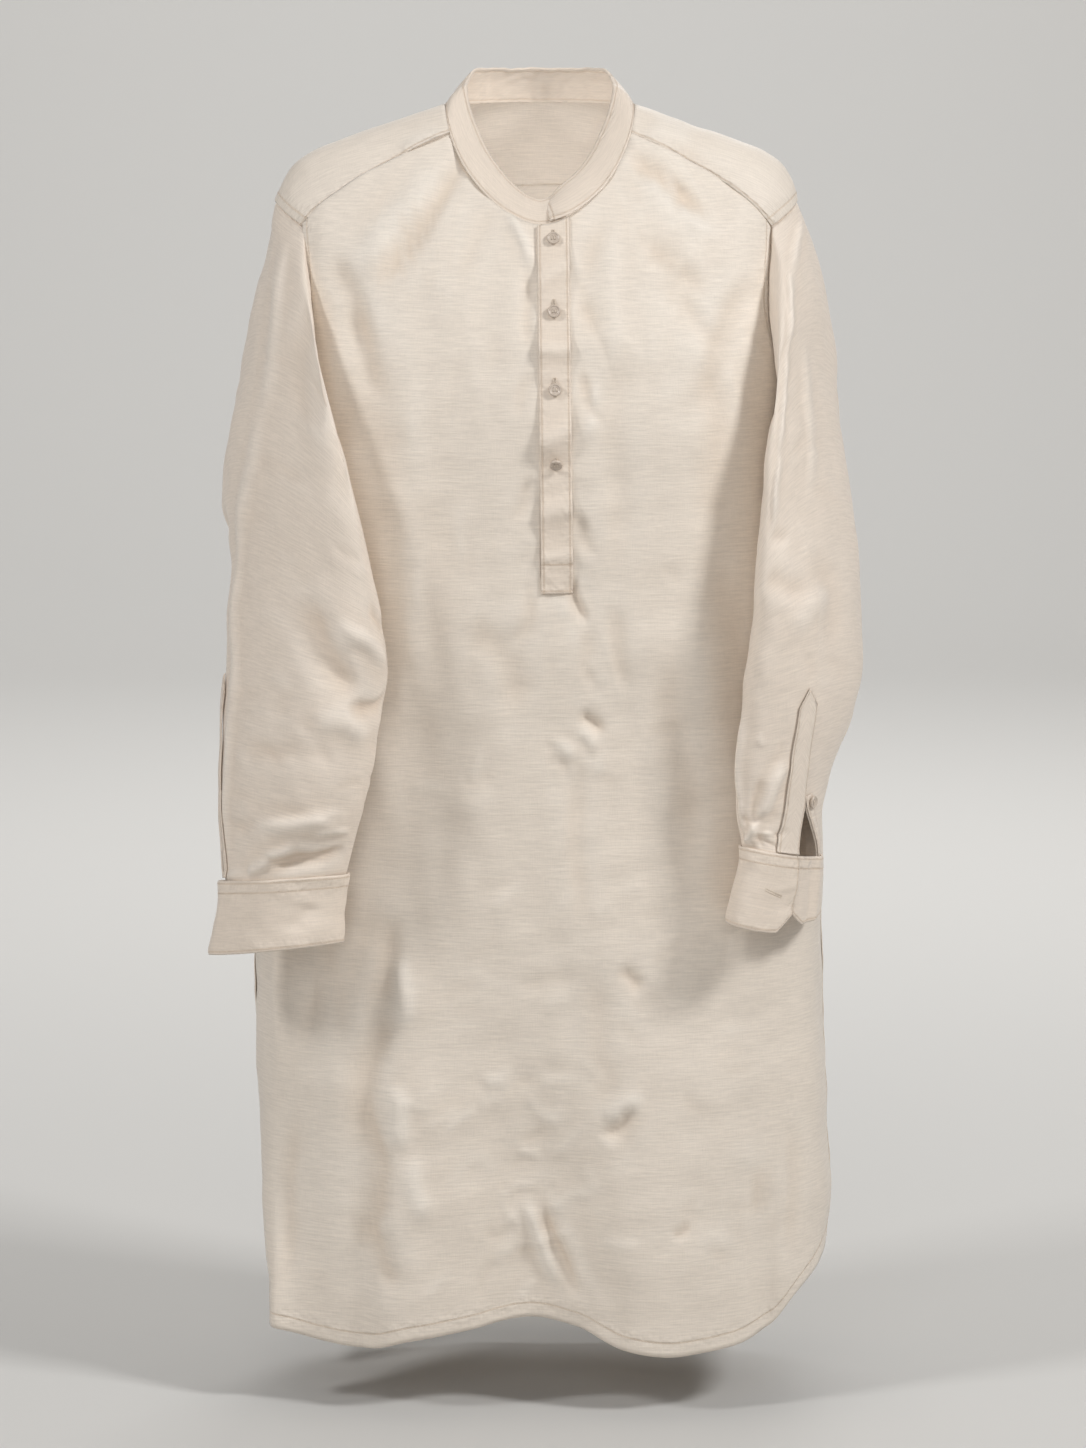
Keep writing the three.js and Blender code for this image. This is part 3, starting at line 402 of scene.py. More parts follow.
def make_weave_group():
    """The weave: weft threads that run across, some thicker than others for a finger's length, crossed by
    fine warp threads, and a slow drift of tone. Each is noise stretched along its threads, about zero. The
    colour is multiplied by one plus their sum, and the threads stand out by their own share. Painted shade
    darkens and warms the colour in the troughs of folds and along stitched lines, and lightens it a little
    on the ridges of folds."""
    kinds = {"Place": "NodeSocketVector", "Colour": "NodeSocketColor", "Slub": "NodeSocketFloat"}
    kinds |= {"Roughness": "NodeSocketFloat", "Painted shade": "NodeSocketFloat"}
    outs = {"Colour": "NodeSocketColor", "Roughness": "NodeSocketFloat", "Height": "NodeSocketFloat"}
    group, given, result = new_group("plain weave with slubs", kinds, outs)

    def threads(per_metre, detail):
        scaled = add_node(group, "ShaderNodeMapping", {"Vector": given.outputs["Place"], "Scale": per_metre})
        values = {"Vector": scaled.outputs[0], "Scale": 1.0, "Detail": detail}
        noise = add_node(group, "ShaderNodeTexNoise", values)
        return do_sum(group, "SUBTRACT", noise.outputs[0], 0.5)

    slub = threads((42, 620, 1), 2.0)
    weft = threads((160, 1500, 1), 1.0)
    warp = threads((1300, 90, 1), 1.0)
    drift = threads((9, 7, 1), 2.0)
    slub = do_sum(group, "MULTIPLY", slub, given.outputs["Slub"])
    height = do_sum(group, "ADD", slub, do_sum(group, "MULTIPLY", weft, 0.5))
    height = do_sum(group, "ADD", height, do_sum(group, "MULTIPLY", warp, 0.35))
    tone = do_sum(group, "ADD", do_sum(group, "MULTIPLY", height, 0.3), 1.0)
    tone = do_sum(group, "ADD", tone, do_sum(group, "MULTIPLY", drift, 0.06))
    # Painted shade: the colour is scaled down in fold troughs, most in blue, so it turns deeper and warmer, and up a
    # little on ridges.
    deep = add_node(
        group,
        "ShaderNodeVectorMath",
        {0: given.outputs["Painted shade"], 1: (-0.08, -0.12, -0.16), 2: (1.0, 1.0, 1.0)},
        operation="MULTIPLY_ADD",
    ).outputs[0]
    shaded_colour = add_node(group, "ShaderNodeVectorMath", {0: given.outputs["Colour"], 1: deep}, operation="MULTIPLY")
    colour = add_node(group, "ShaderNodeVectorMath", {0: shaded_colour.outputs[0], "Scale": tone}, operation="SCALE")
    rough = do_sum(group, "ADD", given.outputs["Roughness"], do_sum(group, "MULTIPLY", slub, -0.25))
    group.links.new(colour.outputs[0], result.inputs["Colour"])
    group.links.new(rough, result.inputs["Roughness"])
    group.links.new(height, result.inputs["Height"])
    return group


def make_seam_group():
    """The pull of sewn lines: at each of three distances a narrow groove where it is zero, and beside it
    puckers, which are noise that fades within a few millimetres. Their sum is a height. The painted shade
    of the lines, which darkens the colour along them, is the sum of their grooves."""
    kinds = {"Place": "NodeSocketVector", "Lines": "NodeSocketVector"}
    outs = {"Height": "NodeSocketFloat", "Shade": "NodeSocketFloat"}
    group, given, result = new_group("sewn lines", kinds, outs)
    apart = add_node(group, "ShaderNodeSeparateXYZ", {0: given.outputs["Lines"]})
    values = {"Vector": given.outputs["Place"], "Scale": 150.0, "Detail": 1.0}
    noise = add_node(group, "ShaderNodeTexNoise", values)
    ripple = do_sum(group, "SUBTRACT", noise.outputs[0], 0.5)

    def bell(distance, width):
        square = do_sum(group, "POWER", do_sum(group, "DIVIDE", distance, width), 2.0)
        return do_sum(group, "EXPONENT", do_sum(group, "MULTIPLY", square, -1.0))

    total, shade = 0.0, 0.0
    for distance in apart.outputs:
        # Painted shade: a narrow dark line along each stitched line.
        shade = do_sum(group, "ADD", shade, do_sum(group, "MULTIPLY", bell(distance, 0.7), 1.1))
        groove = do_sum(group, "MULTIPLY", bell(distance, 0.8), -1.0)
        pucker = do_sum(group, "MULTIPLY", bell(distance, 7.0), do_sum(group, "MULTIPLY", ripple, 5.0))
        total = do_sum(group, "ADD", total, do_sum(group, "ADD", groove, pucker))
    group.links.new(total, result.inputs["Height"])
    group.links.new(shade, result.inputs["Shade"])
    return group


WEAVE, SEAMS = make_weave_group(), make_seam_group()


def cloth_material(name, colour, roughness, slub=1.0, thread=0.00016, pucker=0.00035):
    """Cream cloth with a soft sheen: the weave sets its colour and roughness, with painted shade in the
    folds and along the sewn lines, and lifts the surface with the sewn lines."""
    material = bpy.data.materials.new(name)
    material.use_nodes = True
    tree = material.node_tree
    shader = tree.nodes["Principled BSDF"]
    place = add_node(tree, "ShaderNodeUVMap", uv_map="cloth").outputs[0]
    lines = add_node(tree, "ShaderNodeAttribute", attribute_name="sewn").outputs["Vector"]
    painted_shade = add_node(tree, "ShaderNodeAttribute", attribute_name="painted_shade").outputs["Fac"]
    seams = add_node(tree, "ShaderNodeGroup", node_tree=SEAMS)
    tree.links.new(place, seams.inputs["Place"])
    tree.links.new(lines, seams.inputs["Lines"])
    # Painted shade of the stitched lines, added to the painted shade of the folds.
    painted_shade = do_sum(tree, "ADD", painted_shade, seams.outputs["Shade"])
    values = {"Place": place, "Colour": (*colour, 1), "Slub": slub, "Roughness": roughness, "Painted shade": painted_shade}
    weave = add_node(tree, "ShaderNodeGroup", node_tree=WEAVE)
    for key, value in values.items():
        if isinstance(value, bpy.types.NodeSocket):
            tree.links.new(value, weave.inputs[key])
        else:
            weave.inputs[key].default_value = value
    pulled = add_node(tree, "ShaderNodeBump", {"Height": seams.outputs["Height"], "Distance": pucker})
    values = {"Height": weave.outputs["Height"], "Distance": thread, "Normal": pulled.outputs[0]}
    woven = add_node(tree, "ShaderNodeBump", values)
    tree.links.new(weave.outputs["Colour"], shader.inputs["Base Color"])
    tree.links.new(weave.outputs["Roughness"], shader.inputs["Roughness"])
    tree.links.new(woven.outputs[0], shader.inputs["Normal"])
    shader.inputs["Specular IOR Level"].default_value = 0.45
    shader.inputs["Sheen Weight"].default_value = 0.25
    shader.inputs["Sheen Roughness"].default_value = 0.45
    return material


def place_stitches(name, centres, ways, normals, length, thick):
    """Makes one object of many stitches, each a small four-sided spindle that lies along its way: three
    lengths of ring, narrow at both ends, set across the way by the normal and by their cross product."""
    along = np.repeat([-0.5, -0.3, 0.3, 0.5], 4)
    wide = np.repeat([0.4, 1.0, 1.0, 0.4], 4)
    turn = np.tile(np.arange(4) * np.pi / 2 + np.pi / 4, 4)
    across = np.cross(normals, ways)
    points = centres[:, None] + ways[:, None] * (along * length)[:, None]
    points = points + across[:, None] * (wide * np.cos(turn) * thick)[:, None]
    points = points + normals[:, None] * (wide * np.sin(turn) * thick)[:, None]
    k = np.arange(4)
    sides = [np.stack([4 * r + k, 4 * r + (k + 1) % 4, 4 * r + 4 + (k + 1) % 4, 4 * r + 4 + k], -1) for r in range(3)]
    faces = np.concatenate([[[3, 2, 1, 0]], *sides, [[12, 13, 14, 15]]])
    faces = faces[None] + 16 * np.arange(len(centres))[:, None, None]
    mesh = bpy.data.meshes.new(name)
    mesh.from_pydata(points.reshape(-1, 3) / 1000, [], faces.reshape(-1, 4))
    mesh.shade_smooth()
    piece = bpy.data.objects.new(name, mesh)
    bpy.context.scene.collection.objects.link(piece)
    return piece


def sewn_line(grid, field):
    """The line through a grid where a field first changes sign down each column, as points and normals."""
    change = np.signbit(field[1:]) != np.signbit(field[:-1])
    j = np.flatnonzero(change.any(axis=0))
    i = change.argmax(axis=0)[j]
    share = field[i, j] / (field[i, j] - field[i + 1, j])
    line = sample(np.concatenate([grid, normals_of(grid)], -1), i + share, j)
    return line[:, :3], line[:, 3:]


def stitch(name, grid, sewn, ways, pitch=2.9, length=2.2, thick=0.26):
    """Sews a piece along the lines where its distances are zero. `ways` lists which distance, and whether
    its lines run across the grid or down it; each half of the grid may hold one line."""
    centres, tangents, ups = [], [], []
    for k, way in ways:
        cloth, field = grid, sewn[..., k]
        if way == "down":
            cloth, field = cloth.swapaxes(0, 1), field.T
        half = len(cloth) // 2
        for part in (slice(0, half + 1), slice(half, None)):
            points, normals = sewn_line(cloth[part], field[part])
            if len(points) < 3:
                continue
            if way == "down":
                normals = -normals
            run = np.concatenate([[0], np.cumsum(np.linalg.norm(np.diff(points, axis=0), axis=-1))])
            at = np.arange(pitch / 2, run[-1], pitch)
            here, ahead, up = (
                np.stack([np.interp(at + move, run, value[:, c]) for c in range(3)], -1)
                for move, value in ((0, points), (0.8, points), (0, normals))
            )
            centres.append(here + 0.1 * up)
            tangents.append((ahead - here) / np.maximum(np.linalg.norm(ahead - here, axis=-1, keepdims=True), 1e-6))
            ups.append(up / np.linalg.norm(up, axis=-1, keepdims=True))
    piece = place_stitches(name, *(np.concatenate(part) for part in (centres, tangents, ups)), length, thick)
    stand_for(piece, None, thread)
    return piece


OPENING_END, OPENING_HALF = -376, 0.8  # where the cut under the placket stops, and how far its edges part
UNDER_YOKE = 3  # the front's turning lies this far up under the yoke
HEM_STITCH, SLIT_STITCH, ARMHOLE_STITCH = 12, 6, 7
# Creases of the front as (x, z) of their ends, and how wide and deep they are.
FRONT_CREASES = [
    # from the neck and the yoke seams over the chest
    crease((-52, -34), (-136, -154), 9, -2.8, 2, 0.3),
    crease((-70, -38), (-156, -142), 12, 2.0, 3),
    crease((-34, -72), (-70, -140), 6, -0.7),
    crease((70, -30), (142, -84), 7, -3.0, 2, 0.3),
    crease((78, -50), (148, -108), 8, 1.8, 2),
    crease((82, -98), (140, -152), 8, -1.8, 2),
    crease((96, -130), (154, -196), 9, -1.3, 3),
    crease((48, -78), (30, -200), 9, -1.5, 1),
    crease((-26, -78), (-4, -130), 4.5, 1.5, 0),
    crease((-11, -120), (-9, -200), 6, -1.3, 0),
    crease((58, -78), (56, -230), 8, 0.8, -2),
    crease((-158, -150), (-122, -240), 9, -1.5, 4),
    crease((-110, -190), (-106, -540), 14, 1.1, -3),
    crease((64, -180), (62, -400), 12, -1.0, 2),
    crease((134, -190), (150, -370), 12, -1.2, -3),
    crease((168, -130), (120, -250), 10, -1.6, -5),
    crease((-166, -110), (-132, -200), 9, -1.4, 4),
    # beside the placket, at its buttons and its foot
    crease((31, -205), (50, -256), 5, -1.4, 2),
    crease((46, -214), (36, -268), 5, 1.0, -1),
    crease((30, -150), (50, -186), 5, -0.8),
    crease((-6, -205), (-22, -250), 5, -0.8),
    crease((-6, -290), (-24, -336), 5, -0.8, -2),
    crease((24, -318), (46, -364), 6, -1.1),
    crease((25, -374), (39, -418), 4.5, -2.2, 1, 0.3),
    crease((-6, -384), (-24, -440), 6, -1.1, -3),
    crease((38, -408), (42, -480), 7, -1.0),
    crease((33, -484), (55, -505), 4.5, -1.5, 1, 0.2),
    crease((30, -500), (50, -518), 4.5, 0.9),
    crease((34, -512), (32, -680), 8, -1.1, 2),
    # down the length
    crease((-52, -404), (-14, -500), 15, -1.8, -4),
    crease((57, -394), (70, -480), 8, -1.2),
    crease((104, -420), (122, -640), 15, -1.5, -5, 0.2),
    crease((150, -330), (176, -560), 13, -1.6, 4),
    crease((-150, -330), (-176, -600), 14, -1.6, -4),
    crease((68, -696), (84, -722), 6, -1.7, 1),
    crease((40, -690), (62, -830), 12, -1.0, 3),
    crease((46, -842), (82, -816), 6, -1.8, 2, 0.3),
    crease((50, -826), (86, -800), 7, 1.6, 2),
    crease((110, -926), (126, -912), 4.5, -1.6),
    crease((0, -895), (34, -982), 5.5, -2.1, 1, 0.3),
    crease((-16, -890), (18, -972), 7, 1.9, 1),
    crease((178, -866), (194, -936), 5, -1.4, 2),
    # the long fold on the right, which turns a little on its way down
    crease((-118, -650), (-134, -752), 12, -1.8, 2, 0.3),
    crease((-130, -728), (-150, -826), 12, -2.1, -2, 0.3),
    crease((-149, -796), (-128, -890), 10, -2.2, -2, 0.4),
    crease((-128, -864), (-142, -946), 10, -2.1, 2, 0.3),
    crease((-142, -916), (-122, -974), 9, -1.8, -2),
    crease((-114, -686), (-112, -756), 8, 2.2),
    crease((-120, -794), (-112, -858), 8, 2.0, 1),
    crease((-106, -852), (-98, -920), 9, 1.4),
    crease((-150, -630), (-196, -790), 9, -1.3, 8),
    crease((-136, -640), (-168, -790), 8, -1.1, 7),
    crease((-204, -820), (-212, -990), 8, -1.6, 2),
    crease((212, -830), (214, -960), 8, -1.1, 2),
]
# Small wrinkles: (x, z) of the middle of a patch, its half sizes, their slope, length and count.
FRONT_WRINKLES = [
    {"at": (-60, -880), "spread": (90, 100), "way": 35, "length": 34, "count": 34, "out": 0.62},
    {"at": (60, -840), "spread": (120, 130), "way": -30, "length": 32, "count": 30, "out": 0.5},
    {"at": (20, -600), "spread": (150, 150), "way": 20, "length": 36, "count": 34, "out": 0.42},
    {"at": (-90, -300), "spread": (80, 170), "way": 75, "length": 44, "count": 22, "out": 0.4},
    {"at": (100, -280), "spread": (80, 170), "way": -75, "length": 44, "count": 24, "out": 0.4},
    {"at": (30, -460), "spread": (34, 90), "way": -50, "length": 22, "count": 18, "out": 0.55},
]


def front_folds(points):
    """How far the front's creases push the cloth out."""
    return crease_push(points[..., 0], points[..., 2], FRONT_CREASES + wrinkles(FRONT_WRINKLES, 21))


def front_push(points):
    """How far the front's creases and its unevenness push the cloth out."""
    return front_folds(points) + uneven_push(points, 1.3, 170, 3) + uneven_push(points, 0.4, 55, 4)


def make_front():
    """The front: its columns run from the neck and yoke seams to the hem, evenly spread at the neck."""
    across = np.linspace(0, np.sin(np.radians(YOKE_NECK)) ** (2 / NECK_ROUND), 58)
    phi = np.degrees(np.arcsin(across ** (NECK_ROUND / 2)))
    halves = []
    for side in (-1, 1):
        neck, seam = neck_edge(side * phi), front_yoke_seam(side, np.linspace(0, 1, 43)[1:])
        halves.append([np.concatenate(pair) for pair in zip(neck, seam)])
    (left, left_z), (right, right_z) = halves
    top, top_z = np.concatenate([left[::-1], right]), np.concatenate([left_z[::-1], right_z])
    share = top / armhole_angle(top_z, "front")
    low = front_cloth(share * np.pi / 2, np.full_like(share, -1010))
    hem = read_table(FRONT_HEM, "x", low[:, 0])["z"]
    down = np.linspace(0, 1, 235)[:, None]
    under_yoke = np.where(np.abs(np.arange(len(top)) - 99.5) > 57, UNDER_YOKE, -0.5)
    height = top_z + under_yoke + (hem - top_z - under_yoke) * down
    base = front_cloth(share * armhole_angle(height, "front"), height)
    normals = normals_of(base)
    middle = len(top) // 2
    normals[:, middle - 1] = normals[:, middle]
    open_row = height[:, middle] > OPENING_END
    base[open_row, middle - 1, 0] -= OPENING_HALF
    base[open_row, middle, 0] += OPENING_HALF
    run = lengths_along(base, 1)
    side = np.minimum(run, run[:, -1:] - run)
    from_top = lengths_along(base, 0)
    push = front_push(base) - np.where(under_yoke > 0, 1.4, 0.1) * np.exp(-((from_top / 4) ** 2))
    push -= 0.35 * np.exp(-((side / 1.2) ** 2))
    grid = base + normals * push[..., None]
    to_hem = from_top[-1] - from_top
    at_slit = np.where(height < SLIT_TOP, side - SLIT_STITCH, 50)
    at_armhole = np.where(height > UNDERARM, side - ARMHOLE_STITCH, 50)
    sewn = np.stack([to_hem - HEM_STITCH, at_slit, at_armhole], -1)
    skip = np.zeros((grid.shape[0] - 1, grid.shape[1] - 1), bool)
    skip[:, middle - 1] = True
    place = np.stack([run - run[:, middle : middle + 1], height], -1)
    return grid, place, sewn, skip, front_folds(base)


CREAM = (0.80, 0.715, 0.62)
body_cloth = cloth_material("body cloth", CREAM, 0.58)
front_grid, front_place, front_sewn, front_skip, folds = make_front()
front_piece = cloth_object("front", front_grid, front_place, CLOTH, front_sewn, front_skip, folds)
stand_for(front_piece, "front_panel", body_cloth)
thread = bpy.data.materials.new("sewing thread")
thread.use_nodes = True
thread.node_tree.nodes["Principled BSDF"].inputs["Base Color"].default_value = (0.74, 0.64, 0.53, 1)
thread.node_tree.nodes["Principled BSDF"].inputs["Roughness"].default_value = 0.55
PANEL_LINES = [(0, "across"), (1, "down"), (2, "down")]
front_thread = stitch("front_stitching", front_grid, front_sewn, PANEL_LINES)

# ---- Back panel -----------------------------------------------------------------------------------------
# The back is one length of the same cloth, gathered a little by two soft folds, from the back yoke seam to
# a straight hem. It is sewn to the front from the underarm to the side slits.

BACK_YOKE = {"centre": -68, "side": -90}  # height of the back yoke seam
BACK_HEM = [
    {"x": -250, "z": -1004},
    {"x": -150, "z": -1010},
    {"x": 0, "z": -1014},
    {"x": 150, "z": -1012},
    {"x": 200, "z": -1000},
    {"x": 226, "z": -974},
    {"x": 245, "z": -950},
]
BACK_CREASES = [
    crease((-24, -92), (-30, -330), 10, -3.0, 2),
    crease((24, -92), (32, -300), 10, -3.0, -2),
    crease((-150, -120), (-90, -260), 14, -2.6, 5, 0.2),
    crease((152, -120), (96, -250), 14, -2.6, -5),
    crease((-176, -210), (-110, -420), 16, -2.4, 8),
    crease((174, -220), (112, -400), 16, -2.2, -7),
    crease((-60, -380), (-70, -700), 17, -2.2, 4),
    crease((50, -420), (74, -760), 17, -2.4, -4),
    crease((-150, -470), (-160, -800), 12, -2.2),
    crease((150, -430), (168, -760), 13, -2.2),
    crease((-104, -700), (-98, -1000), 13, 2.0, 3),
    crease((8, -640), (14, -1000), 15, -2.0, 5),
    crease((120, -690), (112, -1000), 14, 2.0, -3),
    crease((-186, -800), (-190, -1000), 8, -2.4),
    crease((190, -800), (200, -980), 8, -2.4),
    crease((60, -860), (76, -900), 6, -1.4),
    crease((-40, -930), (-26, -990), 6, -1.6),
]
BACK_WRINKLES = [
    {"at": (0, -860), "spread": (180, 130), "way": 25, "length": 34, "count": 50, "out": 0.5},
    {"at": (0, -520), "spread": (170, 200), "way": 15, "length": 38, "count": 40, "out": 0.42},
    {"at": (-120, -230), "spread": (50, 110), "way": 65, "length": 40, "count": 14, "out": 0.42},
    {"at": (120, -230), "spread": (50, 110), "way": -65, "length": 40, "count": 14, "out": 0.42},
]


def back_yoke_seam(theta):
    """Height of the back yoke seam at theta: lowest at the armholes, by the square of the way there."""
    reach = armhole_angle(np.array(BACK_YOKE["side"], float), "back")
    spread = np.clip((np.pi - np.abs(theta)) / reach, 0, 1)
    return BACK_YOKE["centre"] + (BACK_YOKE["side"] - BACK_YOKE["centre"]) * spread**2


def make_back():
    """The back: columns are even shares of the way between the armholes, rows even shares of the drop."""
    share = np.linspace(-1, 1, 190)
    down = np.linspace(0, 1, 235)[:, None]
    top = back_yoke_seam(np.pi - share * armhole_angle(np.array(-90.0), "back")) + UNDER_YOKE
    low = body(np.pi - share * np.pi / 2, np.full_like(share, -1010))
    hem = read_table(BACK_HEM, "x", low[:, 0])["z"]
    height = top + (hem - top) * down
    base = body(np.pi - share * armhole_angle(height, "back"), height)
    normals = -normals_of(base)
    run = lengths_along(base, 1)
    side = np.minimum(run, run[:, -1:] - run)
    from_top = lengths_along(base, 0)
    folds = crease_push(base[..., 0], base[..., 2], BACK_CREASES + wrinkles(BACK_WRINKLES, 22))
    push = folds + uneven_push(base, 1.3, 170, 5) + uneven_push(base, 0.4, 55, 6)
    push -= 1.4 * np.exp(-((from_top / 4) ** 2)) + 0.35 * np.exp(-((side / 1.2) ** 2))
    grid = base + normals * push[..., None]
    at_slit = np.where(height < SLIT_TOP, side - SLIT_STITCH, 50)
    at_armhole = np.where(height > UNDERARM, side - ARMHOLE_STITCH, 50)
    sewn = np.stack([from_top[-1] - from_top - HEM_STITCH, at_slit, at_armhole], -1)
    place = np.stack([run, height], -1)
    return grid[:, ::-1], place[:, ::-1], sewn[:, ::-1], folds[:, ::-1]


back_grid, back_place, back_sewn, back_folds = make_back()
back_piece = cloth_object("back", back_grid, back_place, CLOTH, back_sewn, None, back_folds)
stand_for(back_piece, "back_panel", body_cloth)
back_thread = stitch("back_stitching", back_grid, back_sewn, PANEL_LINES)

# ---- Yoke -----------------------------------------------------------------------------------------------
# The shoulder yoke is cut in two layers, with the front, the back and the sleeves caught between them. Its
# folded edges are stitched down along the front and back seams.

TIP = -76  # height of the shoulder tip
YOKE_CREASES = [
    crease((-96, -34), (-150, -74), 7, -1.2, 2),
    crease((100, -30), (160, -66), 8, -1.2, -2),
    crease((-70, -22), (-120, -30), 8, 1.0),
    crease((84, -16), (130, -24), 8, 1.0),
]


def shoulder_end(side, t):
    """The yoke's end over the shoulder, from the front corner (t 0) by the tip (0.5) to the back corner:
    an arc that rises as a sine and falls as a cosine."""
    corner, back_corner = ARMHOLE[-1]["z"], BACK_YOKE["side"]
    front_angle = armhole_angle(np.array(float(corner)), "front")
    back_angle = np.pi - armhole_angle(np.array(float(back_corner)), "back")
    share = np.where(t < 0.5, 2 * t, 2 * t - 1)
    rise = corner + (TIP - corner) * np.sin(share * np.pi / 2)
    fall = TIP + (back_corner - TIP) * (1 - np.cos(share * np.pi / 2))
    before = front_angle + (np.pi / 2 - front_angle) * share
    after = np.pi / 2 + (back_angle - np.pi / 2) * share
    return side * np.where(t < 0.5, before, after), np.where(t < 0.5, rise, fall)


def make_yoke_half(side):
    """Half of the yoke: lines fan out from the neck edge, to the front corner, over the shoulder and then
    along the back seam. The first line is the sagging front seam."""
    over, along_back = np.linspace(0, 1, 41), np.linspace(0, 1, 61)[1:]
    around = np.concatenate([6 * over, 6 + 11 * along_back]) / 17
    end, end_z = shoulder_end(side, over)
    corner = armhole_angle(np.array(-90.0), "back")
    seam = side * (np.pi - corner * (1 - along_back))
    end, end_z = np.concatenate([end, seam]), np.concatenate([end_z, back_yoke_seam(seam)])
    inner, inner_z = neck_edge(side * (YOKE_NECK + (180 - YOKE_NECK) * around))
    inner = np.where(around == 1, side * np.pi, inner)
    out = np.linspace(0, 1, 64)
    theta = inner[:, None] + (end - inner)[:, None] * out
    z = inner_z[:, None] + (end_z - inner_z)[:, None] * out
    straight = np.clip(1 - around * 17, 0, 1)[:, None]
    return theta, z - straight * YOKE_SAG * np.sin(np.pi * out) * (1 - out)


def make_yoke():
    """The whole yoke, from the wearer's right front over the back to the left front."""
    right, left = make_yoke_half(-1), make_yoke_half(1)
    theta, z = (np.concatenate([a, b[::-1][1:]]) for a, b in zip(right, left))
    base = body(theta, z)
    normals = normals_of(base)
    along, out = lengths_along(base, 0), lengths_along(base, 1)
    to_front = np.minimum(along, along[-1] - along)
    to_end = out[:, -1:] - out
    from_back = (np.abs(np.abs(theta[:, -1:]) - np.pi) < armhole_angle(np.array(-90.0), "back") - 0.001)
    folds = crease_push(base[..., 0], base[..., 2], YOKE_CREASES) * (base[..., 1] < 20)
    push = folds + uneven_push(base, 0.8, 150, 7) + uneven_push(base, 0.25, 50, 8)
    push += 0.6 - 0.5 * np.exp(-((to_front / 1.2) ** 2))
    push -= 0.4 * np.exp(-((to_end / 1.2) ** 2))
    grid = base + normals * push[..., None]
    at_back = np.where(from_back, to_end - YOKE_STITCH, 50)
    at_armhole = np.where(from_back, 50, to_end - ARMHOLE_STITCH)
    sewn = np.stack([to_front - YOKE_STITCH, at_back, at_armhole], -1)
    front_to_back = base[..., 1] - base[..., 2] * np.tanh(base[..., 1] / 40)
    return grid, np.stack([base[..., 0], front_to_back], -1), sewn, folds


YOKE_STITCH = 2
yoke_grid, yoke_place, yoke_sewn, yoke_folds = make_yoke()
yoke_piece = cloth_object("shoulder_yoke", yoke_grid, yoke_place, 1.4, yoke_sewn, None, yoke_folds)
stand_for(yoke_piece, "yoke", body_cloth)
YOKE_LINES = [(0, "across"), (1, "down"), (2, "down")]
yoke_thread = stitch("yoke_stitching", yoke_grid, yoke_sewn, YOKE_LINES)

# ---- Sleeves --------------------------------------------------------------------------------------------
# Each sleeve is one piece of the same cloth, sewn up to the armhole and bent forward at the elbow, with a
# pressed fold down it. It is slit at the wrist, and pleated into its cuff.


def ring(inner, front, outer, back):
    """A section of a sleeve: its points next to the body, in front, outside and behind."""
    return {"inner": inner, "front": front, "outer": outer, "back": back}


RIGHT_RINGS = [
    ring((-206, 0, -262), (-187, -54, -150), (-219, 0, -77), (-190, 60, -150)),
    ring((-196, -50, -286), (-178, -112, -200), (-230, -18, -150), (-232, 46, -215)),
    ring((-168, -102, -322), (-166, -140, -262), (-239, -38, -225), (-234, 8, -285)),
    ring((-144, -126, -370), (-170, -156, -325), (-247, -52, -300), (-228, -30, -350)),
    ring((-126, -140, -434), (-180, -162, -400), (-254, -62, -385), (-208, -74, -425)),
    ring((-131, -144, -506), (-192, -168, -492), (-261, -82, -490), (-208, -94, -510)),
    ring((-147, -142, -576), (-203, -166, -566), (-262, -96, -560), (-210, -106, -574)),
    ring((-159, -136, -624), (-208, -154, -628), (-259, -108, -640), (-208, -116, -632)),
    ring((-163, -138, -674), (-214, -156, -678), (-268, -112, -690), (-216, -118, -684)),
]
LEFT_RINGS = [
    ring((206, 0, -262), (184, -54, -150), (213, 0, -76), (190, 60, -150)),
    ring((206, -34, -288), (192, -102, -190), (229, -18, -135), (240, 42, -215)),
    ring((192, -78, -328), (190, -128, -255), (236, -34, -225), (242, 8, -290)),
    ring((181, -108, -375), (195, -142, -320), (250, -46, -305), (237, -24, -355)),
    ring((172, -126, -430), (209, -150, -400), (265, -56, -398), (235, -54, -428)),
    ring((163, -134, -505), (206, -150, -492), (261, -72, -488), (224, -82, -505)),
    ring((159, -140, -566), (203, -142, -562), (236, -74, -556), (197, -92, -570)),
    ring((166, -142, -599), (206, -138, -610), (230, -74, -621), (190, -96, -610)),
    ring((154, -146, -657), (199, -140, -665), (229, -72, -660), (184, -98, -662)),
]
# The slit's place round the wrist in degrees from the body's side, how far its two edges part by the cuff,
# and which edge carries the pointed strap.
SLEEVES = {
    "right": {"side": -1, "rings": RIGHT_RINGS, "slit": 172, "near": 0, "far": 9, "strap": "far"},
    "left": {"side": 1, "rings": LEFT_RINGS, "slit": 110, "near": -11, "far": 30, "strap": "near"},
}
SLEEVES["right"] |= {"elbow": 14, "closed": True}
SLEEVES["left"] |= {"elbow": 4, "closed": False}
WRIST, SLIT_RING, CUFF_LAP = 7, 5.88, 0.16
ELBOW = {"from": 1.7, "peak": 3.2, "to": 3.8, "at": 225, "half": 62}
PLEATS = {"right": [286, 303], "left": [24.5, 41]}
PLEAT_HIGH = {"right": 2.2, "left": 1.1}
BESIDE = 5  # a sleeve hangs this clear of the body
UNDER_ARMHOLE = 1.4  # its turning lies this far under the body's cloth
DEGREE, RING = 0.8, 72  # mm, about, round and along a sleeve
TURN = 360 * DEGREE

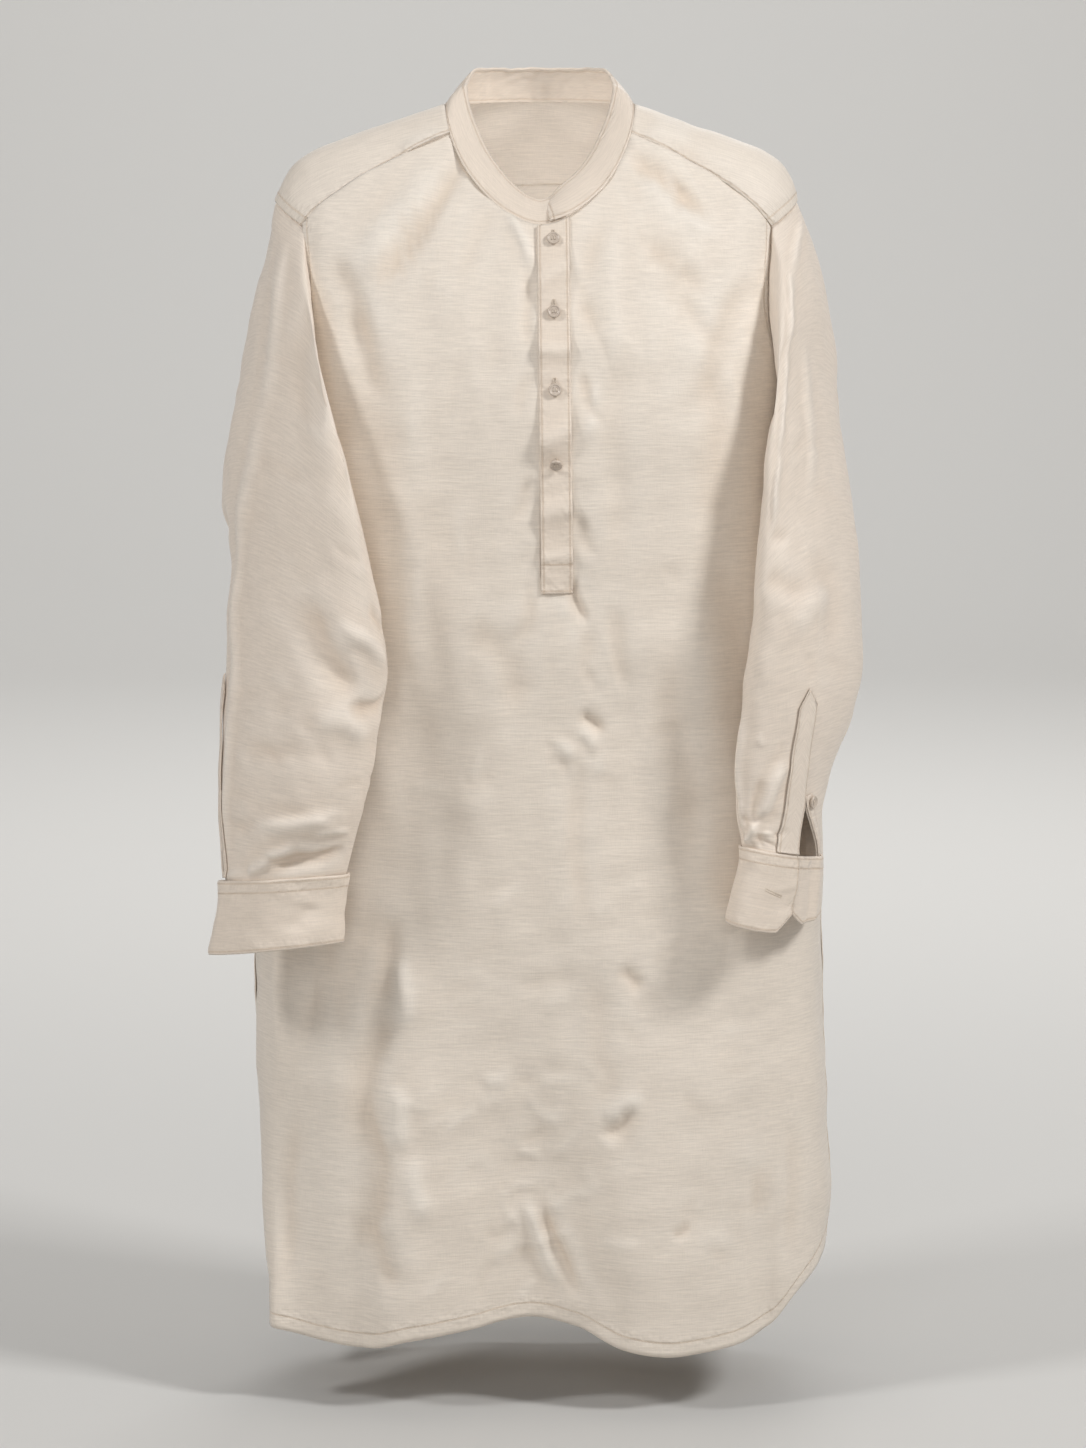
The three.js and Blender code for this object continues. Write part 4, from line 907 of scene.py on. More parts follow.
# Creases of each sleeve as (round, along) in mm: round is from the body's side by the front.
SLEEVE_CREASES = {
    "right": [
        # the pressed fold down its front, and the drag from the armhole
        crease((118, 14), (127, 190), 5, 1.7, 0, 0.3),
        crease((126, 160), (131, 300), 5, 1.8, 0, 0.3),
        crease((131, 270), (122, 372), 5, 1.8, 0, 0.3),
        crease((123, 340), (128, 486), 5, 1.8, 0, 0.3),
        crease((92, 40), (104, 180), 9, -1.6, 3),
        crease((58, 60), (70, 210), 10, -1.3, -3),
        crease((76, 70), (84, 190), 9, 1.1, -2),
        # inside the elbow
        crease((86, 280), (44, 344), 11, -3.6, -4, 0.2),
        crease((62, 284), (10, 300), 8, 2.2, 3),
        crease((50, 346), (0, 322), 7, -2.8, 3, 0.3),
        crease((40, 262), (4, 276), 7, -1.8, 2),
        crease((70, 350), (20, 356), 9, 1.6, 2),
        crease((150, 240), (196, 262), 9, -2.0, 2),
        crease((150, 292), (200, 276), 9, -1.8, -2),
        crease((64, 372), (110, 398), 9, -1.2, 2),
        # above the cuff
        crease((100, 452), (26, 424), 8, 2.8, -3, 0.2),
        crease((60, 446), (20, 436), 5, 1.4, 1),
        crease((92, 486), (16, 464), 7, -3.4, -4, 0.2),
        crease((142, 494), (102, 488), 4, 1.6, -2),
        crease((104, 489), (84, 472), 4.5, 2.4, 2),
        crease((88, 474), (64, 458), 4.5, 2.0, 1),
        crease((236, 110), (226, 300), 12, -1.8, 4),
        crease((200, 320), (214, 440), 10, -1.6, 2),
        crease((250, 350), (262, 480), 10, -1.6, 2),
    ],
    "left": [
        crease((134, 10), (108, 66), 4.5, 1.4, 0, 0.3),
        crease((110, 50), (90, 110), 4.5, 1.6, 0, 0.3),
        crease((92, 95), (72, 180), 4.5, 1.7, 0, 0.3),
        crease((74, 165), (60, 228), 4.5, 1.6, 0, 0.3),
        crease((119, 110), (98, 236), 5, 1.2, 2, 0.3),
        crease((56, 226), (78, 238), 5, -0.7),
        crease((50, 40), (58, 150), 8, -1.3, 3),
        crease((96, 250), (108, 330), 11, -1.4, -3),
        crease((40, 250), (84, 286), 8, -1.5, 3),
        crease((60, 300), (108, 286), 8, 1.1, 3),
        crease((150, 236), (196, 256), 9, -1.8, 2),
        # into the pleats and the strap's foot
        crease((7, 345), (2, 420), 4.5, -2.6, 1, 0.2),
        crease((4, 400), (-4, 497), 4, -2.8, -1, 0.2),
        crease((18, 330), (16, 440), 7, 1.8, 1),
        crease((68, 386), (34, 446), 6, 2.8, 2),
        crease((38, 438), (12, 494), 5.5, 2.8, 1),
        crease((46, 396), (26, 462), 5, -0.9, 1),
        crease((13, 443), (40, 449), 3.4, -0.6),
        crease((34, 476), (58, 483), 3.4, -0.7),
        crease((30, 462), (56, 466), 3.4, 0.6),
        crease((236, 110), (226, 300), 12, -1.8, 4),
        crease((206, 320), (214, 440), 10, -1.6, 2),
        crease((252, 350), (262, 480), 10, -1.6, 2),
    ],
}
SLEEVE_WRINKLES = {
    "right": [
        {"at": (70, 220), "spread": (60, 150), "way": 20, "length": 26, "count": 26, "out": 0.42},
        {"at": (60, 400), "spread": (60, 70), "way": -10, "length": 26, "count": 26, "out": 0.6},
        {"at": (220, 260), "spread": (60, 200), "way": 15, "length": 28, "count": 26, "out": 0.45},
    ],
    "left": [
        {"at": (70, 200), "spread": (50, 150), "way": 25, "length": 24, "count": 22, "out": 0.42},
        {"at": (30, 420), "spread": (34, 60), "way": -60, "length": 20, "count": 16, "out": 0.55},
        {"at": (220, 260), "spread": (60, 200), "way": 15, "length": 28, "count": 26, "out": 0.45},
    ],
}


def on_body(theta, z):
    """Points of the body's cloth and their normals, from its slopes round and up."""
    round_ = body(theta + 0.004, z) - body(theta - 0.004, z)
    n = np.cross(round_, body(theta, z + 0.8) - body(theta, z - 0.8))
    return body(theta, z), n / np.linalg.norm(n, axis=-1, keepdims=True)


def armhole_edge(side, alpha):
    """The armhole as the sleeve meets it, alpha degrees round from the underarm by the front: up the front
    edge, over the yoke's end and down the back edge. It is moved a little way under the body's cloth."""
    heights = [row["z"] for row in ARMHOLE]
    at = alpha / 180 * 11
    front_z = np.interp(at, np.arange(9), heights)
    back_z = np.interp(at, np.arange(14, 23), [BACK_YOKE["side"], *heights[::-1][1:]])
    over, over_z = shoulder_end(side, np.clip((at - 8) / 6, 0, 1))
    front_side, back_side = at <= 8, at >= 14
    theta = np.where(back_side, side * (np.pi - armhole_angle(back_z, "back")), over)
    theta = np.where(front_side, side * armhole_angle(front_z, "front"), theta)
    z = np.where(front_side, front_z, np.where(back_side, back_z, over_z))
    point, normal = on_body(theta, z)
    away = side * np.cross(np.gradient(point, axis=0), normal)
    return point - UNDER_ARMHOLE * away / np.linalg.norm(away, axis=-1, keepdims=True)


def along_track(track, u):
    """A smooth line through a track's points, which is at point k at u = k: a centripetal Catmull-Rom
    curve, whose pace depends on the square root of the gaps between points."""
    p = np.array(track, float)
    p = np.vstack([2 * p[0] - p[1], p, 2 * p[-1] - p[-2]])
    i = np.clip(u.astype(int), 0, len(track) - 2)
    t = (np.clip(u, 0, len(track) - 1) - i)[..., None]
    a, b, c, d = p[i], p[i + 1], p[i + 2], p[i + 3]
    gap = [np.sqrt(np.linalg.norm(q - r, axis=-1, keepdims=True)) for q, r in ((b, a), (c, b), (d, c))]
    m = ((b - a) / gap[0] - (c - a) / (gap[0] + gap[1]) + (c - b) / gap[1]) * gap[1]
    n = ((c - b) / gap[1] - (d - b) / (gap[1] + gap[2]) + (d - c) / gap[2]) * gap[1]
    return b + t * m + t**2 * (3 * (c - b) - 2 * m - n) + t**3 * (2 * (b - c) + m + n)


def sleeve_tube(sleeve, t, alpha):
    """A sleeve's tube t rings down and alpha degrees round: the four tracks blended by the cosine and sine
    of alpha, with their quarter differences on twice alpha, and the elbow's bunch pushed out."""
    inner, front, outer, back = (
        along_track([row[name] for row in sleeve["rings"]], t) for name in ("inner", "front", "outer", "back")
    )
    a = np.radians(alpha)[..., None]
    centre = (inner + front + outer + back) / 4
    p = centre + (inner - outer) / 2 * np.cos(a) + (front - back) / 2 * np.sin(a)
    p = p + (inner - front + outer - back) / 4 * np.cos(2 * a)
    rise = smooth((t - ELBOW["from"]) / (ELBOW["peak"] - ELBOW["from"]))
    fall = 1 - smooth((t - ELBOW["peak"]) / (ELBOW["to"] - ELBOW["peak"]))
    swell = np.where(t < ELBOW["peak"], rise, fall)
    near = np.exp(-(((alpha % 360 - ELBOW["at"]) / ELBOW["half"]) ** 2))
    way = (p - centre) / np.linalg.norm(p - centre, axis=-1, keepdims=True)
    return p + way * (sleeve["elbow"] * swell * near)[..., None]


def sleeve_place(sleeve, t, alpha):
    """The sleeve's cloth: its tube, drawn on to the armhole near the top and kept clear of the body."""
    if "pull" not in sleeve:
        turn = np.arange(0, 361, 2.0)
        sleeve["pull"] = armhole_edge(sleeve["side"], turn) - sleeve_tube(sleeve, np.zeros_like(turn), turn)
    at = alpha % 360 / 2
    pull = np.stack([np.interp(at, np.arange(181), sleeve["pull"][:, k]) for k in range(3)], -1)
    p = sleeve_tube(sleeve, t, alpha) + pull * (1 - smooth(t / 1.6))[..., None]
    s = read_table(FIGURE, "z", p[..., 2])
    wide = np.where(p[..., 0] < 0, s["left"], s["right"])
    deep = np.where(p[..., 1] < 0, s["front"], s["back"])
    near, normal = on_body(np.arctan2(p[..., 0] / wide, -p[..., 1] / deep), p[..., 2])
    short = BESIDE * smooth(t / 0.4) - ((p - near) * normal).sum(-1)
    return p + normal * np.where(t > 0, np.maximum(0, short), 0)[..., None]


def sleeve_folds(name, t, alpha):
    """How far a sleeve's creases and pleats push the cloth out. A pleat rises slowly and drops sharply."""
    creases = SLEEVE_CREASES[name] + wrinkles(SLEEVE_WRINKLES[name], 23)
    push = crease_push(alpha % 360 * DEGREE, t * RING, creases, TURN)
    for place in PLEATS[name]:
        off = (alpha - place + 180) % 360 - 180
        fold = np.where(off < 0, smooth(1 + off / 13), smooth(1 - off / 2.5))
        push += PLEAT_HIGH[name] * fold * smooth((t - 5.3) / 1.2)
    return push * smooth(t / 0.5) * (1 - smooth((t - 6.72) / 0.16))


def sleeve_push(name, t, alpha, points):
    """How far a sleeve's folds and unevenness push the cloth out, fading at the armhole and the cuff."""
    push = uneven_push(points, 1.0, 130, 11) + uneven_push(points, 0.35, 45, 12)
    return sleeve_folds(name, t, alpha) + push * smooth(t / 0.5) * (1 - smooth((t - 6.72) / 0.16))


def sleeve_surface(name, t, alpha, raw=False):
    """Points and outward normals of a sleeve at t rings down and alpha degrees round."""
    sleeve = SLEEVES[name]
    t, alpha = np.broadcast_arrays(np.asarray(t, float), np.asarray(alpha, float))
    point = sleeve_place(sleeve, t, alpha)
    along = sleeve_place(sleeve, np.minimum(t + 0.02, 8), alpha) - sleeve_place(sleeve, np.maximum(t - 0.02, 0), alpha)
    n = np.cross(along, sleeve_place(sleeve, t, alpha + 1) - sleeve_place(sleeve, t, alpha - 1)) * sleeve["side"]
    n /= np.maximum(np.linalg.norm(n, axis=-1, keepdims=True), 1e-9)
    if raw:
        return point, n
    return point + n * sleeve_push(name, t, alpha, point)[..., None], n


def slit_at(sleeve, t):
    """The angles of the slit's two edges at t rings down: they part smoothly from its top to the wrist."""
    part = smooth((t - SLIT_RING) / (WRIST - SLIT_RING))
    return sleeve["slit"] + sleeve["near"] * part, sleeve["slit"] + sleeve["far"] * part


def make_sleeve(name):
    """A sleeve: rows run down it, columns round it from one edge of the slit to the other."""
    sleeve = SLEEVES[name]
    t = np.linspace(0, WRIST, 240)[:, None]
    near, far = slit_at(sleeve, t)
    alpha = far + (near + 360 - far) * np.linspace(0, 1, 170)
    grid, normals = sleeve_surface(name, t, alpha)
    folds = sleeve_folds(name, *np.broadcast_arrays(t, alpha))
    run, down = lengths_along(grid, 1), lengths_along(grid, 0)
    grid = grid - normals * (1.5 * np.exp(-((down / 3.5) ** 2)))[..., None]
    far_line = np.full_like(down, 50)
    sewn = np.stack([down - 2.5, far_line, far_line], -1)
    in_front = np.argmin(np.abs(alpha[0] - 450))
    place = np.stack([run - run[:, [in_front]], 0 * down - down.mean(axis=1, keepdims=True)], -1)
    if sleeve["side"] < 0:
        grid, place, sewn, folds = grid[:, ::-1], place[:, ::-1], sewn[:, ::-1], folds[:, ::-1]
    return grid, place, sewn, folds


SLEEVE_CREAM = (0.80, 0.70, 0.60)
sleeve_cloth = cloth_material("sleeve cloth", SLEEVE_CREAM, 0.56)
for name in SLEEVES:
    sleeve_grid, sleeve_map, sleeve_sewn, folds = make_sleeve(name)
    sleeve_piece = cloth_object(f"{name}_arm", sleeve_grid, sleeve_map, CLOTH, sleeve_sewn, None, folds)
    stand_for(sleeve_piece, f"{name}_sleeve", sleeve_cloth)

# ---- Collar ---------------------------------------------------------------------------------------------
# The band collar is two layers of cloth fused over a stiffener, sewn to the neck edge and stitched all
# round near its edges. Its end on the wearer's left laps over the other.

COLLAR = {"half": 60, "side": 19, "drop": 92, "rear": 33, "front": 60, "back": 47, "round": 1.54}
COLLAR_START, COLLAR_END = 18, -353  # degrees round the neck
LAP_DIP = 5.5  # the top edge dips by this much to the lapping end's corner
BAND, LAY = 2.2, 0.7  # thickness of a fused band, and the room under one that lies on another


def collar_point(phi, u):
    """The collar at phi degrees round the neck and u up from its seam: straight from the neck edge to the
    top edge, which dips in front as a rounded V, and bulged by the sine of its height."""
    theta, z = neck_edge(phi, -0.9)
    turn = np.radians(phi % 360)
    side, ahead = np.sin(turn), np.cos(turn)
    power = 2 / COLLAR["round"]
    round_side = np.sign(side) * np.abs(side) ** power
    round_ahead = np.abs(ahead) ** power
    rear = COLLAR["side"] + (COLLAR["rear"] - COLLAR["side"]) * smooth(-2 * ahead)
    x = COLLAR["half"] * np.where(ahead > 0, round_side, side)
    y = np.where(ahead > 0, -COLLAR["front"] * round_ahead, -COLLAR["back"] * ahead)
    z_top = np.where(ahead > 0, COLLAR["side"] - COLLAR["drop"] * round_ahead, rear)
    z_top = z_top - LAP_DIP * smooth((COLLAR_END + 16 - phi) / 16)
    u = u[..., None]
    p = body(theta, z) * (1 - u) + np.stack([x, y, z_top], -1) * u
    return p + 2.5 * np.sin(np.pi * u) * np.stack([side, -ahead, np.full_like(side, 0.4)], -1)


def make_collar():
    """The collar's outside, whose lapping end is lifted over the other."""
    phi, u = np.broadcast_arrays(np.linspace(COLLAR_START, COLLAR_END, 420), np.linspace(-0.09, 1, 27)[:, None])
    base = collar_point(phi, u)
    normals = normals_of(base)
    lap = smooth((COLLAR_END + 38 - phi) / 22) * (BAND + LAY)
    up, along = lengths_along(base, 0), lengths_along(base, 1)
    to_top, to_end = up[-1] - up, np.minimum(along, along[:, -1:] - along)
    edge = np.minimum(np.minimum(up, to_top), to_end)
    push = lap + 0.5 + uneven_push(base, 0.35, 60, 13) - 0.7 * np.exp(-((edge / 0.9) ** 2))
    push += uneven_push(base, 0.45, 20, 15) * smooth(-0.5 - 2 * np.cos(np.radians(phi)))
    sewn = np.stack([up - 3, to_top - 4, to_end - 4], -1)
    return base + normals * push[..., None], np.stack([along, up], -1), sewn


COLLAR_CREAM = (0.80, 0.695, 0.59)
fused_cloth = cloth_material("fused cloth", COLLAR_CREAM, 0.48, 0.75, 0.00012, 0.00025)
collar_grid, collar_place, collar_sewn = make_collar()
collar_piece = cloth_object("neck_band", collar_grid, collar_place, 1.8, collar_sewn)
stand_for(collar_piece, "collar_band", fused_cloth)
BAND_LINES = [(0, "across"), (1, "across"), (2, "down")]
collar_thread = stitch("neck_band_stitching", collar_grid, collar_sewn, BAND_LINES, 2.4, 1.85, 0.22)

# ---- Front placket --------------------------------------------------------------------------------------
# The opening down the chest has an upper strip with the buttonholes, which ends in a stitched box, and an
# under strip with the buttons. Both are folded, fused and sewn to the front's cut edges.

PLACKET = {"left": -2.5, "right": 23.5, "end": -389, "lean": 0.012, "neck": 2.4}
UNDER_PLACKET = {"left": -6, "right": 19, "end": -384}
PLACKET_CREASES = [
    crease((-30, -146), (51, -116), 9, 1.5, 1),
    crease((-30, -196), (51, -186), 8, 1.6, 1),
    crease((-30, -268), (51, -250), 11, 1.9, 1),
    crease((-30, -330), (51, -314), 11, 1.7, 1),
    crease((-30, -362), (51, -354), 6, 0.9),
    crease((-30, -166), (51, -160), 8, -0.6),
    crease((-30, -228), (51, -222), 9, -0.6),
    crease((-30, -290), (51, -282), 8, -0.6),
]


def neck_height(x):
    """Height of the neck edge at x on the front, which is a rounded V."""
    across = (np.abs(x - NECK_SHIFT) / NECK_HALF) ** NECK_ROUND
    return NECK_HIGH - NECK_DROP * (1 - across) ** (1 / NECK_ROUND)


def strip_surface(x, z, lift):
    """Points and normals over the front at x and z, lifted off it. x drifts as the placket leans."""
    theta = angle_at(x - PLACKET["lean"] * (z + 88), z)
    round_ = front_cloth(theta + 0.004, z) - front_cloth(theta - 0.004, z)
    n = np.cross(round_, front_cloth(theta, z + 0.8) - front_cloth(theta, z - 0.8))
    n /= np.linalg.norm(n, axis=-1, keepdims=True)
    base = front_cloth(theta, z)
    return base + n * (front_push(base) + lift)[..., None], n


def make_strip(strip, lift, waves, columns):
    """A strip of the placket: rows down it, columns across, its long edges rounded over."""
    x = np.linspace(strip["left"], strip["right"], columns)
    top = neck_height(x) - PLACKET["neck"]
    z = top + (strip["end"] - top) * np.linspace(0, 1, 220)[:, None]
    across = np.minimum(x - x[0], x[-1] - x) + 0 * z
    x, z = np.broadcast_arrays(x, z)
    foot = z - strip["end"]
    folds = waves * crease_push(x, z, PLACKET_CREASES)
    push = lift + folds - 0.8 * np.exp(-((np.minimum(across, foot) / 0.8) ** 2))
    grid, _ = strip_surface(x, z, push)
    box = np.where(foot < BOX_HIGH + 12, foot - BOX_HIGH, 50)
    sewn = np.stack([across - STRIP_STITCH, foot - STRIP_STITCH, box], -1)
    return grid, np.stack([x, z], -1), sewn, folds


STRIP_STITCH = 2.2
BOX_HIGH = 24  # height of the stitched box at the placket's foot
placket_grid, placket_place, placket_sewn, waves = make_strip(PLACKET, LAY + BAND, 1, 34)
placket_piece = cloth_object("upper_placket", placket_grid, placket_place, 1.8, placket_sewn, None, waves)
stand_for(placket_piece, "front_placket", fused_cloth)
STRIP_LINES = [(0, "down"), (1, "across"), (2, "across")]
placket_thread = stitch("placket_stitching", placket_grid, placket_sewn, STRIP_LINES, 2.4, 1.85, 0.22)

# The buttons' heights, how far each is turned over in degrees, and half the length of its buttonhole.
FRONT_BUTTONS = [
    {"z": -105, "tilt": 0, "hole": 4.4},
    {"z": -162, "tilt": 0, "hole": 7.2},
    {"z": -224, "tilt": 0, "hole": 7.2},
    {"z": -283, "tilt": 38, "hole": 7.2},
]
MIDDLE = (PLACKET["left"] + PLACKET["right"]) / 2


def make_buttonhole(name, surface, half):
    """A buttonhole about the middle of a surface function of (along, across) in millimetres: two rows of
    fine stitches that cross its slit's edges, a bar at each end, and the shaded slit between."""
    rows = np.arange(-half, half + 0.01, 0.5)
    along = np.concatenate([rows, rows, np.repeat([-half - 0.5, half + 0.5], 3)])
    across = np.concatenate([rows * 0 - 0.85, rows * 0 + 0.85, np.tile([-0.8, 0.0, 0.8], 2)])
    centres, normals = surface(along, across)
    ways = surface(along, across + 0.3)[0] - centres
    ways /= np.linalg.norm(ways, axis=-1, keepdims=True)
    edge = place_stitches(name, centres + 0.2 * normals, ways, normals, 1.3, 0.34)
    stand_for(edge, None, thread)
    centres, normals = surface(rows, rows * 0)
    ways = surface(rows + 0.3, rows * 0)[0] - centres
    ways /= np.linalg.norm(ways, axis=-1, keepdims=True)
    slit = place_stitches(f"{name}_slit", centres + 0.05 * normals, ways, normals, 1.0, 0.18)
    stand_for(slit, None, slit_shade)
    return edge, slit


slit_shade = bpy.data.materials.new("shade in a buttonhole")
slit_shade.use_nodes = True
slit_shade.node_tree.nodes["Principled BSDF"].inputs["Base Color"].default_value = (0.16, 0.11, 0.08, 1)
slit_shade.node_tree.nodes["Principled BSDF"].inputs["Roughness"].default_value = 0.9
on_placket = [placket_thread]
for i, button in enumerate(FRONT_BUTTONS, 1):

    def beside_button(along, across, level=button["z"] + 2):
        return strip_surface(MIDDLE + across, level + along, LAY + BAND)

    on_placket += make_buttonhole(f"buttonhole_{i}", beside_button, button["hole"])
under_grid, under_place, under_sewn, _ = make_strip(UNDER_PLACKET, -1.9, 0, 24)
under_piece = cloth_object("lower_placket", under_grid, under_place, 1.2, under_sewn)
stand_for(under_piece, "under_placket", fused_cloth)

# ---- Cuffs ----------------------------------------------------------------------------------------------
# Each cuff is a fused double band with cut corners, sewn over the end of its sleeve. The right one is
# buttoned, with its front end lapped on top, and the left one hangs open.

MITRE = {"along": 20, "up": 0.26}
CUFF_ENDS = {"right": (4, 26), "left": (1.5, -1.5)}  # where a cuff's two ends are, in degrees past the slit
CUFF_CREASES = {
    "right": [crease((84, 536), (118, 548), 10, -1.2, 2), crease((52, 520), (60, 560), 9, -0.9)],
    "left": [crease((60, 530), (72, 560), 10, -1.2, 2)],
}


def cuff_surface(name, t, alpha, lift):
    """Points and normals over a sleeve's end at t rings down and alpha degrees round, lifted off it."""
    point, n = sleeve_surface(name, t, alpha, raw=True)
    push = lift + crease_push(alpha % 360 * DEGREE, t * RING, CUFF_CREASES[name], TURN)
    return point + n * push[..., None], n


def make_cuff(name):
    """A cuff, whose lower corners are cut back in proportion to how near they are to its ends."""
    sleeve = SLEEVES[name]
    near, _ = slit_at(sleeve, np.array(float(WRIST)))
    first, last = near + CUFF_ENDS[name][0], near + 360 + CUFF_ENDS[name][1]
    alpha = np.linspace(first, last, 230)
    corner = np.clip(1 - np.minimum(alpha - first, last - alpha) / MITRE["along"], 0, 1)
    low = 8 - MITRE["up"] * corner
    t = WRIST - CUFF_LAP + (low - WRIST + CUFF_LAP) * np.linspace(0, 1, 48)[:, None]
    t, alpha = np.broadcast_arrays(t, alpha)
    lap = smooth((alpha - last + 52) / 22) if sleeve["closed"] else -1.6 * smooth((first + 41 - alpha) / 14)
    base, n = cuff_surface(name, t, alpha, (LAY + BAND) * (1 + lap) + 0 * t)
    down, along = lengths_along(base, 0), lengths_along(base, 1)
    to_foot, to_end = down[-1] - down, np.minimum(along, along[:, -1:] - along)
    edge = np.minimum(np.minimum(down, to_foot), to_end)
    push = uneven_push(base, 0.5, 50, 14) - 0.8 * np.exp(-((edge / 0.9) ** 2))
    sewn = np.stack([np.minimum(down, to_foot) - CUFF_STITCH, down - CUFF_ROW, to_end - CUFF_STITCH], -1)
    grid, place = base + n * push[..., None], np.stack([along, -down], -1)
    if sleeve["side"] < 0:
        grid, place, sewn = grid[:, ::-1], place[:, ::-1], sewn[:, ::-1]
    return grid, place, sewn


CUFF_STITCH, CUFF_ROW = 2.5, 10.5  # stitched lines inside the edges, and below the seam


def inside_cuff(along, across):
    """Places on the left cuff beside its buttonhole, which slants up towards the cuff's end."""
    return cuff_surface("left", 7.455 - across / 58 - along / 240, 66 - along / 0.62, LAY + BAND)


for name in SLEEVES:
    cuff_grid, cuff_place, cuff_sewn = make_cuff(name)
    cuff_piece = cloth_object(f"{name}_wristband", cuff_grid, cuff_place, 1.8, cuff_sewn)
    stand_for(cuff_piece, f"{name}_cuff", fused_cloth)
    on_cuff = [
        stitch(f"{name}_wristband_stitching", cuff_grid, cuff_sewn, BAND_LINES, 2.4, 1.85, 0.22)
    ]
    if name == "left":
        on_cuff += make_buttonhole("cuff_buttonhole", inside_cuff, 7)

# ---- Sleeve plackets and slit bindings ------------------------------------------------------------------
# A pointed strip covers one edge of each wrist slit, the front one on the left sleeve and the back one on
# the right, and a narrow binding folds over the other edge.

STRAP = {"top": 4.86, "peak": 4.7, "narrow": 17, "wide": 33}  # rings down, and degrees at its top and foot
BINDING = {"width": 11, "below": 0.05}
STRIP_END = 0.03  # both stop this far short of the cuff, in rings


def beside_slit(sleeve, t, edge, across):
    """The angle `across` degrees outside one edge of the slit at t rings down."""
    near, far = slit_at(sleeve, t)
    return far + across if edge == "far" else near - across


def make_strap(name):
    """The pointed strip: its top edge rises to a point half way across."""
    sleeve = SLEEVES[name]
    across = np.linspace(0, 1, 30)
    top = STRAP["top"] + (STRAP["peak"] - STRAP["top"]) * (1 - np.abs(2 * across - 1))
    foot = WRIST - CUFF_LAP - STRIP_END
    u = np.linspace(0, 1, 120)[:, None]
    t = top + (foot - top) * u
    width = STRAP["narrow"] + (STRAP["wide"] - STRAP["narrow"]) * u
    if sleeve["strap"] == "near":
        across = 1 - across
    alpha = beside_slit(sleeve, t, sleeve["strap"], width * across)
    base, n = sleeve_surface(name, t, alpha)
    down, run = lengths_along(base, 0), lengths_along(base, 1)
    side = np.minimum(run, run[:, -1:] - run)
    push = LAY + 1.9 - 0.8 * np.exp(-((np.minimum(side, down) / 0.8) ** 2))
    sewn = np.stack([side - STRIP_STITCH, down - STRIP_STITCH, np.full_like(down, 50)], -1)
    grid, place = base + n * push[..., None], np.stack([run, -down], -1)
    if sleeve["side"] < 0:
        grid, place, sewn = grid[:, ::-1], place[:, ::-1], sewn[:, ::-1]
    return grid, place, sewn


def make_binding(name):
    """The narrow strip along the slit's other edge."""
    sleeve = SLEEVES[name]
    t = np.linspace(SLIT_RING + BINDING["below"], WRIST - CUFF_LAP - STRIP_END, 90)[:, None]
    across = np.linspace(0.5, BINDING["width"], 14)
    if sleeve["strap"] == "near":
        alpha = beside_slit(sleeve, t, "far", across)
    else:
        alpha = beside_slit(sleeve, t, "near", across[::-1])
    base, n = sleeve_surface(name, t, alpha)
    down, run = lengths_along(base, 0), lengths_along(base, 1)
    side = np.minimum(run, run[:, -1:] - run)
    push = LAY + 1.2 - 0.6 * np.exp(-((side / 0.8) ** 2))
    sewn = np.stack([side - 1.6, np.full_like(down, 50), np.full_like(down, 50)], -1)
    grid, place = base + n * push[..., None], np.stack([run, -down], -1)
    if sleeve["side"] < 0:
        grid, place, sewn = grid[:, ::-1], place[:, ::-1], sewn[:, ::-1]
    return grid, place, sewn


for name in SLEEVES:
    strap_grid, strap_place, strap_sewn = make_strap(name)
    strap_piece = cloth_object(f"{name}_wrist_placket", strap_grid, strap_place, 1.2, strap_sewn)
    stand_for(strap_piece, f"{name}_sleeve_placket", sleeve_cloth)
    strap_thread = stitch(
        f"{name}_wrist_stitching", strap_grid, strap_sewn, STRIP_LINES[:2], 2.4, 1.85, 0.22
    )
    strip_grid, strip_place, strip_sewn = make_binding(name)
    binding_piece = cloth_object(f"{name}_binding", strip_grid, strip_place, 0.9, strip_sewn)
    stand_for(binding_piece, f"{name}_slit_binding", sleeve_cloth)

# ---- Buttons --------------------------------------------------------------------------------------------
# Five small resin buttons with four holes are sewn on through a short shank of thread: four down the
# placket, the lowest of them turned over, and one by the left wrist.

BUTTON = {"radius": 5.3, "thick": 2.4, "dish": 0.7, "hole": 0.55, "hole_at": 1.25, "off": 0.6}
SLEEVE_BUTTON = {"ring": 6.03, "across": 8}


def turned_to(points, normal, tilt):
    """Points about the origin, tilted round x by some degrees and then turned so that +Z is the normal."""
    c, s = math.cos(math.radians(tilt)), math.sin(math.radians(tilt))
    points = points @ np.array([[1, 0, 0], [0, c, -s], [0, s, c]]).T
    v, w = np.cross([0, 0, 1], normal), normal[2]
    k = np.array([[0, -v[2], v[1]], [v[2], 0, -v[0]], [-v[1], v[0], 0]])
    return points @ (np.eye(3) + k + k @ k / (1 + w)).T


